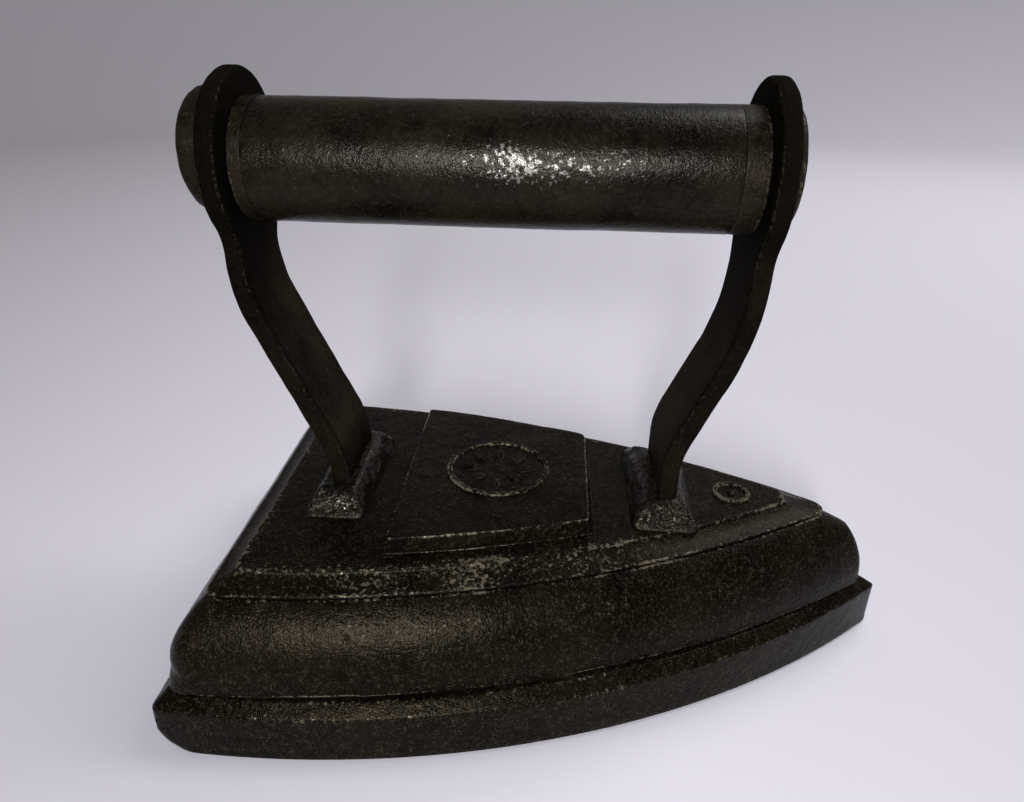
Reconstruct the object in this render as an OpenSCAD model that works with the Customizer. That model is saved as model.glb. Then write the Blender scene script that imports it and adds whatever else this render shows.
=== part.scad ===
// Solid cast flat iron for laundry, heated on a stove, with a riveted tube handle.
// Sizes are in millimetres. The origin is under the middle of the sole, +X points to the toe and
// +Z is up. The sole rests on the plane z = 0.

/* [Sole] */
// Length of the sole from the heel to the toe
sole_length = 162.4; // [150:0.2:175]
// Largest width of the sole, near the heel
sole_width = 105; // [96:0.2:112]
// Plan radius of each curved side of the sole
sole_side_radius = 228; // [220:1:280]
// How far past the blunt toe the sole's two sides would meet
sole_overshoot = 0.4; // [0.3:0.1:3]
// Height of the upright rim round the sole
rim_height = 12; // [8:0.5:14]
// Chamfer along the lower edge of the rim
sole_chamfer = 0.8; // [0.4:0.1:1.5]
// Width of the sloping shoulder above the rim
shoulder_width = 2.5; // [1.5:0.1:3.5]
// Rise of the sloping shoulder
shoulder_rise = 2.3; // [1:0.1:3]
// Plan radius of the two rounded heel corners, on the sole's face
heel_corner_radius = 9; // [5:0.5:12]
// Growth of that radius up to the top of the rim, about the same middle, so a corner leans out
heel_corner_growth = 3.1; // [0:0.1:4]

/* [Body] */
// Height of the flat top above the sole
body_height = 37; // [35:0.5:41]
// Plan radius of the sides of the bulged body
body_side_radius = 260; // [245:1:300]
// How far past the sole's toe the body's two sides would meet
body_overshoot = 2.5; // [2:0.1:4.5]
// Setback of the body's blunt nose from the sole's toe
nose_setback = 3.8; // [1.6:0.2:5]
// How much further from the sole's outline the body stands at the heel than along its sides
heel_setback = 0.8; // [0:0.1:2]
// Plan radius of the body's two rounded heel corners
body_corner_radius = 6.5; // [3:0.5:12]
// Plan radius of the blunt nose at the sole's outline
nose_radius = 17; // [16:0.5:20]
// Inset of the fullest part of the bulge from the sole's outline
bulge_inset = 2; // [1:0.1:2.3]
// Height of the fullest part of the bulge
bulge_level = 17; // [15:0.5:19]
// Radius of the bulge in section
bulge_radius = 20; // [18.5:0.5:26]
// Depth of the neck between the shoulder and the bulge
neck_depth = 0.8; // [0.4:0.1:1.2]
// Height of the neck between the shoulder and the bulge
neck_height = 0.9; // [0.5:0.1:1.5]

/* [Top moulding] */
// Depth of the ledge at the foot of the moulding below the flat top
moulding_drop = 3.9; // [3.4:0.1:4.5]
// Inset of the moulding's lip from the sole's outline
lip_inset = 9.9; // [9:0.1:10.5]
// Depth of the groove under the lip
groove_depth = 0.9; // [0.4:0.1:1.2]
// Height of the groove under the lip
groove_height = 0.7; // [0.4:0.1:1]
// Upright height of the lip
lip_height = 0.6; // [0.4:0.1:1]
// Radius of the hollow cove above the lip
cove_radius = 9; // [6:0.5:16]
// Inset of the edge of the flat top from the sole's outline
top_inset = 14.6; // [13.5:0.1:15.5]
// Small upright step at the edge of the flat top
top_step = 0.5; // [0.2:0.1:0.8]

/* [Raised panel] */
// Rear edge of the panel, measured from the middle of the sole
panel_rear = -37; // [-39:0.2:-34]
// Length of the panel at its base
panel_length = 44.8; // [40:0.2:50]
// Margin of flat top between the panel and the top's curved edges
panel_margin = 4.8; // [4:0.1:8]
// Height of the panel above the flat top
panel_height = 3.9; // [1:0.1:5]
// Width of the sloping band along each curved side of the panel
panel_side_slope = 0.3; // [0.1:0.1:3.5]
// Width of the sloping band at each end of the panel
panel_end_slope = 0.8; // [0.4:0.1:2]
// Outer radius of the ring cast on the panel
ring_radius = 12.5; // [10:0.5:14]
// Width of the ring cast on the panel
ring_width = 1.5; // [1:0.1:2.5]
// Number of leaves in the rosette inside the ring
leaf_count = 8; // [5:1:12]
// Length of a leaf
leaf_length = 7.5; // [6:0.5:9]
// Width of a leaf
leaf_width = 3; // [1.8:0.1:3.2]
// Gap between the button and the points of the leaves
leaf_gap = 0.4; // [0.2:0.1:0.8]
// Radius of the button in the middle of the rosette
button_radius = 2.2; // [1:0.1:2.4]
// Height of the ring and rosette above the panel
relief_height = 0.7; // [0.3:0.1:1]

/* [Foot bosses] */
// Length of a boss along the iron, at its base
boss_length = 16; // [14:0.5:18]
// Width of a boss across the iron, at its base
boss_width = 37; // [34:0.5:40]
// Height of a boss above the flat top
boss_height = 5; // [3:0.25:6]
// How far the ends of a boss slope inwards
boss_end_slope = 3; // [1:0.1:4]
// Plan radius of the four corners of a boss
boss_corner_radius = 6; // [2:0.5:6.5]
// Depth of a foot's socket below the flat top
socket_depth = 8; // [4:0.5:12]
// Gap between a foot and the walls of its socket
socket_clearance = 0.15; // [0.05:0.01:0.3]

/* [Toe mark] */
// Middle of the plain ring cast near the toe, measured from the middle of the sole
mark_x = 42; // [41:0.5:46]
// Outer radius of the plain ring
mark_radius = 4.5; // [3:0.1:5]
// Width of the plain ring
mark_width = 1.3; // [0.8:0.1:1.6]
// Radius of the pip inside the plain ring
pip_radius = 1.2; // [0.6:0.1:1.4]

/* [Uprights] */
// Width of the forged strap under its head
strap_width = 21.5; // [18:0.5:24]
// Width of the strap's foot
foot_width = 24; // [20:0.5:28]
// Thickness of the head and of the strap under it
strap_thickness = 3.9; // [3:0.1:5]
// Thickness of the strap's foot, to which the strap thickens evenly
foot_thickness = 4.6; // [3.5:0.1:6]
// Radius of the round head
head_radius = 18; // [17:0.25:20]
// Radius of the hollow corners between the head and the strap
head_fillet = 7.5; // [2:0.5:8]
// Middle of the rear foot, measured from the middle of the sole
rear_foot_x = -50.6; // [-53:0.2:-49]
// Middle of the front foot, measured from the middle of the sole
front_foot_x = 25; // [24:0.2:27]
// Height of the rear strap's upright foot above its boss
rear_foot_rise = 0; // [0:0.5:5]
// Height of the front strap's upright foot above its boss
front_foot_rise = 5.5; // [4:0.5:10]
// Radius of the rear strap's lower bend, along its middle
rear_lower_bend = 25.5; // [14:0.5:30]
// Radius of the front strap's lower bend, along its middle
front_lower_bend = 22.5; // [14:0.5:30]
// Length of the rear strap's straight, leaning stretch between its two bends
rear_straight = 30; // [8:1:32]
// Length of the front strap's straight, leaning stretch between its two bends
front_straight = 16; // [8:1:24]

/* [Handle] */
// Height of the handle's axis above the sole
handle_height = 112.8; // [108:0.1:120]
// Inner face of the rear head, measured from the middle of the sole
grip_rear = -66.8; // [-69:0.2:-65]
// Length of the grip between the inner faces of the two heads
grip_length = 103; // [100:0.5:106]
// Outer diameter of the tube
tube_diameter = 25; // [23:0.5:30]
// Wall of the rolled tube
tube_wall = 2; // [1:0.1:3]
// Width of the butt seam along the underside of the tube
seam_width = 0.4; // [0.2:0.1:1]
// Visible rim of the rear ferrule
rear_rim = 2.8; // [2:0.2:5]
// Visible rim of the front ferrule
front_rim = 4.8; // [2:0.2:6]
// Length of a ferrule's plug inside the tube
plug_length = 7; // [4:0.5:12]
// Gap between a plug and the bore of the tube
plug_clearance = 0.1; // [0.05:0.05:0.3]

/* [Rivet] */
// Diameter of the long rivet's shank
shank_diameter = 8; // [6:0.5:10]
// Gap between the shank and the holes that it passes
shank_clearance = 0.1; // [0.05:0.05:0.3]
// Diameter of the rivet's forged head, at the rear
rivet_head_diameter = 24.6; // [20:0.2:26]
// Thickness of the rivet's forged head
rivet_head_thickness = 6.2; // [3:0.1:7]
// How far the forged head sits above the shank's axis
rivet_head_rise = 1.8; // [0:0.1:2.5]
// Radius of the worn edge of the forged head
rivet_head_edge = 1.6; // [0.5:0.1:2.5]
// Diameter of the front washer
washer_diameter = 24.6; // [20:0.2:28]
// Thickness of the front washer
washer_thickness = 2.6; // [1.5:0.1:4]
// Chamfer of the front washer
washer_chamfer = 0.7; // [0.2:0.1:1.2]
// Diameter of the rivet's hammered end, on the washer
peen_diameter = 13; // [11:0.5:16]
// Height of the rivet's hammered end
peen_height = 1.8; // [1:0.1:3]

/* [Hidden] */
$fn = 96;
// Facets of the long plan arcs, whose radii are many times those of the other curves
long_fn = 256;
// Steps along each bend of a strap
bend_steps = 16;
// Overshoot of cutting solids past the faces that they cut
cut = 1;
// Depth by which raised castings reach into what carries them
relief_root = 0.5;

heel_x = -sole_length / 2;
toe_x = sole_length / 2;
shoulder_top = rim_height + shoulder_rise;
neck_inset = shoulder_width + neck_depth;
bulge_bottom = shoulder_top + neck_height;
ledge_level = body_height - moulding_drop;
lip_bottom = ledge_level + groove_height;
lip_top = lip_bottom + lip_height;
cove_top = body_height - top_step;
boss_top = body_height + boss_height;
foot_bottom = body_height - socket_depth;
grip_front = grip_rear + grip_length;
tube_bore = tube_diameter - 2 * tube_wall;
shank_hole = shank_diameter + 2 * shank_clearance;
// Middles of the hollow corners between a head and its strap, beside and below the head's middle
fillet_y = strap_width / 2 + head_fillet;
fillet_drop = sqrt(pow(head_radius + head_fillet, 2) - pow(fillet_y, 2));
// The strap starts to bend level with the bottom of its head
bend_start = handle_height - head_radius;

// Plan centre of one curved side, which meets the other side at x = tip on the centre line and
// is widest at half the sole's width
function side_centre(tip, radius) =
    [tip - sqrt(sole_width / 2 * (2 * radius - sole_width / 2)), radius - sole_width / 2];

// Centre of the circle that goes through a and b and lies on the left of the way from a to b
function arc_centre(a, b, radius) =
    let (chord = norm(b - a), left = [a[1] - b[1], b[0] - a[0]] / chord)
    (a + b) / 2 + left * sqrt(pow(radius, 2) - pow(chord / 2, 2));

sole_centre = side_centre(toe_x + sole_overshoot, sole_side_radius);
body_centre = side_centre(toe_x + body_overshoot, body_side_radius);

// Section of the sole's rim and shoulder. x is 0 at the sole's outline and runs outwards.
module rim_section() {
    polygon([
        [-$reach, 0],
        [-sole_chamfer, 0],
        [0, sole_chamfer],
        [0, rim_height],
        [-shoulder_width, shoulder_top],
        [-$reach, shoulder_top],
    ]);
}

// Section of the body above the shoulder: neck, bulge, groove, lip, cove and edge of the flat top
module body_section() {
    bulge_middle = bulge_inset + bulge_radius;
    section_band(neck_inset, shoulder_top, bulge_bottom);
    section_band(bulge_middle, bulge_bottom, ledge_level);
    intersection() {
        translate([-bulge_middle, bulge_level]) circle(bulge_radius, $fn = long_fn);
        translate([-min(bulge_middle, $reach), bulge_bottom])
            square([bulge_middle, ledge_level - bulge_bottom]);
    }
    section_band(lip_inset + groove_depth, ledge_level, lip_bottom);
    difference() {
        polygon([
            [-$reach, lip_bottom],
            [-lip_inset, lip_bottom],
            [-lip_inset, lip_top],
            [-top_inset, cove_top],
            [-top_inset, body_height],
            [-$reach, body_height],
        ]);
        intersection() {
            translate(arc_centre([-top_inset, cove_top], [-lip_inset, lip_top], cove_radius))
                circle(cove_radius);
            translate([-top_inset - cut, lip_bottom])
                square([top_inset + cut, cove_top - lip_bottom]);
        }
    }
}

// A plain band of a section between two heights
module section_band(inset, low, high) {
    if ($reach > inset) translate([-$reach, low]) square([$reach - inset, high - low]);
}

// Section of the raised panel. x is 0 at the foot of its curved side.
module panel_section() {
    polygon([
        [-$reach, -relief_root],
        [0, -relief_root],
        [0, 0],
        [-panel_side_slope, panel_height],
        [-$reach, panel_height],
    ]);
}

// Turns a section about the plan centre of one long side
module side_sweep(centre, radius) {
    translate(centre) rotate_extrude($fn = long_fn) translate([radius, 0]) children();
}

// Carries a section, whose x runs outwards, along both long sides and keeps what they enclose
module between_sides(centre, radius, $reach = sole_width + cut) {
    intersection() {
        side_sweep(centre, radius) children();
        mirror([0, 1, 0]) side_sweep(centre, radius) children();
    }
}

// Stands a plan of x and z upright and gives it a width across the iron
module across(width) {
    rotate([90, 0, 0]) linear_extrude(width, center = true) children();
}

// Stands a plan of y and z upright and gives it a length along the iron, forwards from x = 0
module along(length) {
    rotate([90, 0, 90]) linear_extrude(length) children();
}

// Carries a section straight across the heel
module across_heel(heel, $reach = sole_length + cut) {
    translate([heel, 0, 0]) mirror([1, 0, 0]) across(sole_width + 2 * cut) children();
}

// Carries a section round the blunt nose and keeps everything behind it
module round_nose(tip, $reach = nose_radius) {
    nose_x = tip - nose_radius;
    translate([nose_x, 0, 0]) rotate_extrude($fn = long_fn) translate([nose_radius, 0]) children();
    translate([nose_x - sole_length, -sole_width / 2 - cut, 0])
        cube([sole_length, sole_width + 2 * cut, body_height]);
}

// Takes the sharp upright corners off the heel, where a side at this inset meets the heel line at
// heel. The rounding is upright, or grows with the height at this rate.
module heel_corner_cuts(centre, radius, inset, heel, corner_radius, growth_rate) {
    corner_x = heel + corner_radius;
    reach = radius - inset - corner_radius;
    corner = [corner_x, centre[1] - sqrt(pow(reach, 2) - pow(corner_x - centre[0], 2))];
    past_side = corner + (corner - centre) / reach * (corner_radius + cut);
    past_heel = heel - cut;
    low_radius = corner_radius - cut * growth_rate;
    high_radius = corner_radius + (body_height + cut) * growth_rate;
    for (side = [0, 1]) mirror([0, side, 0]) translate([0, 0, -cut]) difference() {
        linear_extrude(body_height + 2 * cut)
            polygon([corner, [past_heel, corner[1]], [past_heel, past_side[1] - cut], past_side]);
        translate(corner) cylinder(r1 = low_radius, r2 = high_radius, h = body_height + 2 * cut);
    }
}

// The boat form of an iron: one section round both sides, the blunt nose and the heel
module boat(centre, radius, tip, heel) {
    intersection() {
        between_sides(centre, radius) children();
        across_heel(heel) children();
        round_nose(tip) children();
    }
}

// The sole's rim and shoulder, its heel corners leaning out above the sole's face
module rim() {
    difference() {
        boat(sole_centre, sole_side_radius, toe_x, heel_x) rim_section();
        heel_corner_cuts(sole_centre, sole_side_radius, 0, heel_x, heel_corner_radius,
            heel_corner_growth / rim_height);
    }
}

// The bulged body with its moulding, standing further in at the heel than along its sides
module body() {
    heel = heel_x + heel_setback;
    difference() {
        boat(body_centre, body_side_radius, toe_x - nose_setback, heel) body_section();
        heel_corner_cuts(body_centre, body_side_radius, bulge_inset, heel + bulge_inset,
            body_corner_radius, 0);
    }
}

// Ring with a rosette of pointed leaves round a button, seen in plan
module rosette() {
    difference() {
        circle(ring_radius);
        circle(ring_radius - ring_width);
    }
    circle(button_radius);
    leaf_radius = (pow(leaf_length, 2) + pow(leaf_width, 2)) / (4 * leaf_width);
    leaf_middle = button_radius + leaf_gap + leaf_length / 2;
    for (leaf = [0:leaf_count - 1]) rotate(leaf * 360 / leaf_count)
        intersection() {
            translate([leaf_middle, leaf_radius - leaf_width / 2]) circle(leaf_radius);
            translate([leaf_middle, leaf_width / 2 - leaf_radius]) circle(leaf_radius);
        }
}

// Plain ring with a pip, seen in plan
module toe_mark() {
    difference() {
        circle(mark_radius);
        circle(mark_radius - mark_width);
    }
    circle(pip_radius);
}

// A low arched ridge across the flat top, with sloping ends and rounded corners, its foot filling
// the moulding beside it
module boss(middle_x) {
    half_length = boss_length / 2;
    translate([middle_x, 0, body_height]) intersection() {
        across(boss_width + 2 * cut) boss_arch(half_length);
        translate([-half_length - cut, 0, 0]) along(boss_length + 2 * cut)
            boss_slope(boss_width / 2);
        translate([0, 0, -moulding_drop]) linear_extrude(moulding_drop + boss_height + cut)
            boss_plan(half_length, boss_width / 2);
    }
}

// Arch over the length of a boss, on upright walls that reach down into the moulding
module boss_arch(half) {
    arch_radius = (pow(half, 2) + pow(boss_height, 2)) / (2 * boss_height);
    translate([-half, -moulding_drop]) square([2 * half, moulding_drop]);
    intersection() {
        translate([0, boss_height - arch_radius]) circle(arch_radius, $fn = long_fn);
        translate([-half, -relief_root]) square([2 * half, boss_height + relief_root]);
    }
}

// Sloping ends of a boss
module boss_slope(half) {
    polygon([
        [-half, -moulding_drop],
        [half, -moulding_drop],
        [half, 0],
        [half - boss_end_slope, boss_height],
        [boss_end_slope - half, boss_height],
        [-half, 0],
    ]);
}

// Plan of a boss, a rectangle with four round corners
module boss_plan(half_length, half_width) {
    inner_length = half_length - boss_corner_radius;
    inner_width = half_width - boss_corner_radius;
    square([2 * half_length, 2 * inner_width], center = true);
    square([2 * inner_length, 2 * half_width], center = true);
    for (end = [-1, 1], side = [-1, 1])
        translate([end * inner_length, side * inner_width]) circle(boss_corner_radius);
}

// Pocket in the casting that holds the foot of a strap
module socket(middle_x) {
    length = foot_thickness + 2 * socket_clearance;
    width = foot_width + 2 * socket_clearance;
    translate([middle_x - length / 2, -width / 2, foot_bottom])
        cube([length, width, boss_top + cut - foot_bottom]);
}

// The raised panel with its ring and rosette
module panel() {
    panel_front = panel_rear + panel_length;
    translate([0, 0, body_height]) intersection() {
        between_sides(body_centre, body_side_radius - top_inset - panel_margin) panel_section();
        across(sole_width) polygon([
            [panel_rear, -relief_root],
            [panel_rear, 0],
            [panel_rear + panel_end_slope, panel_height],
            [panel_front - panel_end_slope, panel_height],
            [panel_front, 0],
            [panel_front, -relief_root],
        ]);
    }
    translate([(panel_rear + panel_front) / 2, 0, body_height + panel_height - relief_root])
        linear_extrude(relief_root + relief_height) rosette();
}

// The solid iron: sole, bulged body, moulded top, panel, toe mark and two bosses with sockets
module body_casting() {
    color([0.17, 0.16, 0.13]) difference() {
        union() {
            rim();
            body();
            panel();
            translate([mark_x, 0, body_height - relief_root])
                linear_extrude(relief_root + relief_height) toe_mark();
            boss(rear_foot_x);
            boss(front_foot_x);
        }
        socket(rear_foot_x);
        socket(front_foot_x);
    }
}

// Points along a bend, between two angles seen from its centre
function bend(centre, radius, from_angle, to_angle) = [
    for (step = [0:bend_steps])
        let (angle = from_angle + (to_angle - from_angle) * step / bend_steps)
        centre + radius * [cos(angle), sin(angle)]
];

// Half the strap's thickness at a height: it grows evenly from under the head to the boss
function half_thickness(height) =
    let (share = (bend_start - height) / (bend_start - boss_top))
    (strap_thickness + (foot_thickness - strap_thickness) * min(max(share, 0), 1)) / 2;

// One face of the strap along a bend of its middle line. side is 1 for the face away from the
// bend's centre and -1 for the face towards it.
function face(centre, radius, from_angle, to_angle, side) = [
    for (middle = bend(centre, radius, from_angle, to_angle))
        middle + side * half_thickness(middle[1]) * (middle - centre) / radius
];

// Side view of a strap. x is 0 at the head's inner face and runs towards the middle of the grip,
// and y is the height. The head hangs straight, the strap leans inwards between two bends, and
// the foot stands straight in its socket. The upper bend takes up what the lower one and the
// straight stretch leave of the way.
module strap_side(foot_x, foot_rise, lower_bend, straight) {
    half_head = strap_thickness / 2;
    half_foot = foot_thickness / 2;
    shift = foot_x + half_head;
    bend_end = boss_top + foot_rise;
    drop = bend_start - bend_end;
    both_bends = (pow(shift, 2) + pow(drop, 2) - pow(straight, 2)) / (2 * shift);
    upper_bend = both_bends - lower_bend;
    lean = atan2(drop, both_bends - shift) - atan2(straight, both_bends);
    upper_middle = [upper_bend - half_head, bend_start];
    lower_middle = [foot_x - lower_bend, bend_end];
    polygon(concat(
        [[-strap_thickness, handle_height]],
        face(upper_middle, upper_bend, 180, 180 + lean, 1),
        face(lower_middle, lower_bend, lean, 0, -1),
        [[foot_x - half_foot, foot_bottom], [foot_x + half_foot, foot_bottom]],
        face(lower_middle, lower_bend, 0, lean, 1),
        face(upper_middle, upper_bend, 180 + lean, 180, -1),
        [[0, handle_height]]
    ));
}

// Front view of a strap below its head: hollow corners that touch the round head, and a strap
// that widens to its foot. x runs across the iron and y is the height above the handle's axis.
module strap_front() {
    touch = atan2(fillet_drop, fillet_y);
    foot_low = foot_bottom - handle_height;
    foot_high = boss_top - handle_height;
    right_corner = bend([fillet_y, -fillet_drop], head_fillet, 180, 180 - touch);
    left_corner = bend([-fillet_y, -fillet_drop], head_fillet, touch, 0);
    polygon(concat(
        [[0, 0]],
        left_corner,
        [[-foot_width / 2, foot_high], [-foot_width / 2, foot_low]],
        [[foot_width / 2, foot_low], [foot_width / 2, foot_high]],
        right_corner
    ));
}

// A forged strap with a round, pierced head, its inner face at x = 0
module upright(foot_x, foot_rise, lower_bend, straight) {
    color([0.15, 0.14, 0.12]) translate([0, 0, handle_height]) difference() {
        union() {
            translate([-strap_thickness, 0, 0]) rotate([0, 90, 0])
                cylinder(r = head_radius, h = strap_thickness, $fn = 180);
            intersection() {
                translate([0, 0, -handle_height])
                    across(2 * (head_radius + cut))
                        strap_side(foot_x, foot_rise, lower_bend, straight);
                translate([-strap_thickness - cut, 0, 0])
                    along(foot_x + 2 * (foot_thickness + cut)) strap_front();
            }
        }
        translate([-strap_thickness - cut, 0, 0]) rotate([0, 90, 0])
            cylinder(d = shank_hole, h = strap_thickness + 2 * cut);
    }
}

module rear_upright() {
    translate([grip_rear, 0, 0])
        upright(rear_foot_x - grip_rear, rear_foot_rise, rear_lower_bend, rear_straight);
}

module front_upright() {
    translate([grip_front, 0, 0]) mirror([1, 0, 0])
        upright(grip_front - front_foot_x, front_foot_rise, front_lower_bend, front_straight);
}

// Rolled tube between the two ferrules, its butt seam underneath
module handle_tube() {
    length = grip_length - rear_rim - front_rim;
    color([0.2, 0.19, 0.16]) translate([grip_rear + rear_rim, 0, handle_height])
        rotate([0, 90, 0]) difference() {
            cylinder(d = tube_diameter, h = length);
            translate([0, 0, -cut]) cylinder(d = tube_bore, h = length + 2 * cut);
            translate([0, -seam_width / 2, -cut])
                cube([tube_diameter, seam_width, length + 2 * cut]);
        }
}

// A turned collar with a plug that centres the tube, its rim against the head at x = 0
module ferrule(rim_length) {
    color([0.24, 0.23, 0.2]) rotate([0, 90, 0]) difference() {
        union() {
            cylinder(d = tube_diameter, h = rim_length);
            cylinder(d = tube_bore - 2 * plug_clearance, h = rim_length + plug_length);
        }
        translate([0, 0, -cut]) cylinder(d = shank_hole, h = rim_length + plug_length + 2 * cut);
    }
}

module rear_ferrule() {
    translate([grip_rear, 0, handle_height]) ferrule(rear_rim);
}

module front_ferrule() {
    translate([grip_front, 0, handle_height]) mirror([1, 0, 0]) ferrule(front_rim);
}

// Long rivet through both heads, with a thick forged head behind and a hammered end in front
module handle_rivet() {
    head_back = grip_rear - strap_thickness;
    shank_front = grip_front + strap_thickness + washer_thickness;
    outer = rivet_head_diameter / 2;
    flat_radius = outer - rivet_head_edge;
    flat_height = rivet_head_thickness - rivet_head_edge;
    // The hammered end is a slice of this sphere
    peen_sphere = (pow(peen_diameter / 2, 2) + pow(peen_height, 2)) / (2 * peen_height);
    color([0.22, 0.2, 0.17]) {
        translate([head_back, 0, handle_height + rivet_head_rise]) rotate([0, -90, 0])
            rotate_extrude() {
                square([flat_radius, rivet_head_thickness]);
                square([outer, flat_height]);
                translate([flat_radius, flat_height]) circle(rivet_head_edge, $fn = 48);
            }
        translate([head_back - flat_height, 0, handle_height]) rotate([0, 90, 0])
            cylinder(d = shank_diameter, h = shank_front - head_back + flat_height);
        translate([shank_front, 0, handle_height]) rotate([0, 90, 0]) rotate_extrude()
            intersection() {
                translate([0, peen_height - peen_sphere]) circle(peen_sphere);
                square([peen_diameter, peen_height]);
            }
    }
}

// Thick chamfered washer between the front head and the rivet's hammered end
module front_washer() {
    outer = washer_diameter / 2;
    color([0.22, 0.2, 0.17]) translate([grip_front + strap_thickness, 0, handle_height])
        rotate([0, 90, 0]) rotate_extrude() polygon([
            [shank_hole / 2, 0],
            [outer, 0],
            [outer, washer_thickness - washer_chamfer],
            [outer - washer_chamfer, washer_thickness],
            [shank_hole / 2, washer_thickness],
        ]);
}

body_casting();
rear_upright();
front_upright();
handle_tube();
rear_ferrule();
front_ferrule();
handle_rivet();
front_washer();
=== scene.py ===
# %% [markdown]
# This lesson dresses a solid cast flat iron, the kind that was heated on a stove. The real thing is one
# iron casting, two forged straps, a rolled tube and the parts of a long rivet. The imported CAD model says
# where everything goes, so every piece here is worked out in the same frame, in metres, with the origin
# under the sole, +X towards the toe and +Z up.
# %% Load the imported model
from itertools import product

import bmesh
import bpy
import numpy as np
from mathutils import Matrix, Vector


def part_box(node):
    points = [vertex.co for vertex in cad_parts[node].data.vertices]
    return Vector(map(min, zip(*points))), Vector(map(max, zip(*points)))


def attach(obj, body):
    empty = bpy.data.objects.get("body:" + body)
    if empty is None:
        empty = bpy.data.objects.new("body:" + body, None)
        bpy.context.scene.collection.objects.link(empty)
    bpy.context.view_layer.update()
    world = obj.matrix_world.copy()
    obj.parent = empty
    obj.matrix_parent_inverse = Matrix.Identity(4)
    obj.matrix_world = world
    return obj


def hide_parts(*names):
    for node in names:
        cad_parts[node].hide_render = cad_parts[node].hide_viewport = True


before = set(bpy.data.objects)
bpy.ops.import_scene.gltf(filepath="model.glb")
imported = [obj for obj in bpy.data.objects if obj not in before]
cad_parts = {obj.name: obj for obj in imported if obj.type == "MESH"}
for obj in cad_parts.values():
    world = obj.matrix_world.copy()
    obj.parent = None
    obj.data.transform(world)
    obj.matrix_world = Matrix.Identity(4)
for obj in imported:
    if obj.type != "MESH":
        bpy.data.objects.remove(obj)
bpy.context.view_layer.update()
MM = 0.001
casting_low, casting_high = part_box("body_casting")
tube_low, tube_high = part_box("handle_tube")

# %% [markdown]
# Old iron is never one colour and never smooth. Several finishes here share the same effects, so each
# effect is a shader node group that is built once and given its own values in every material: soft
# patches, the fine grain of the casting sand with its pits, and edges that hands and stoves have rubbed.
# A few helpers first, because a tree of nodes written out by hand is long and hard to read.
# %% Helpers for node trees
def new_group(name, inputs, outputs):
    """A shader node group with named inputs (name, kind, value) and outputs (name, kind)."""
    group = bpy.data.node_groups.new(name, "ShaderNodeTree")
    for label, kind, value in inputs:
        socket = group.interface.new_socket(label, in_out="INPUT", socket_type="NodeSocket" + kind)
        if value is not None:
            socket.default_value = value
    for label, kind in outputs:
        group.interface.new_socket(label, in_out="OUTPUT", socket_type="NodeSocket" + kind)
    return group, group.nodes.new("NodeGroupInput").outputs, group.nodes.new("NodeGroupOutput").inputs


def feed(tree, socket, value):
    """Links another node's output to a socket, or sets a plain value on it."""
    if isinstance(value, bpy.types.NodeSocket):
        tree.links.new(value, socket)
    else:
        socket.default_value = value


def add_node(tree, kind, sockets, **settings):
    """Adds a node, with its settings and a value or a link for each named socket."""
    made = tree.nodes.new("ShaderNode" + kind)
    for setting, value in settings.items():
        setattr(made, setting, value)
    for label, value in sockets.items():
        feed(tree, made.inputs[label], value)
    return made


def maths(tree, operation, *values):
    """The result of one sum on numbers or sockets."""
    made = add_node(tree, "Math", {}, operation=operation)
    for socket, value in zip(made.inputs, values):
        feed(tree, socket, value)
    return made.outputs[0]


def ease_between(tree, value, low, high):
    """0 below low, 1 above high and a smooth step between them. low may be the larger one."""
    labels = {"Value": value, "From Min": low, "From Max": high}
    return add_node(tree, "MapRange", labels, interpolation_type="SMOOTHSTEP").outputs["Result"]


def mix_colours(tree, factor, first, second):
    """first where factor is 0, second where it is 1."""
    made = tree.nodes.new("ShaderNodeMix")
    made.data_type = "RGBA"
    for label, value in zip(("Factor_Float", "A_Color", "B_Color"), (factor, first, second)):
        feed(tree, next(s for s in made.inputs if s.identifier == label), value)
    return next(s for s in made.outputs if s.identifier == "Result_Color")


def noise(tree, place, scale, detail=2.0, roughness=0.5):
    """Soft random value, about 0.5 on average. scale is how many lumps fit in a metre."""
    sockets = {"Vector": place, "Scale": scale, "Detail": detail, "Roughness": roughness}
    return add_node(tree, "TexNoise", sockets).outputs["Fac"]


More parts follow.
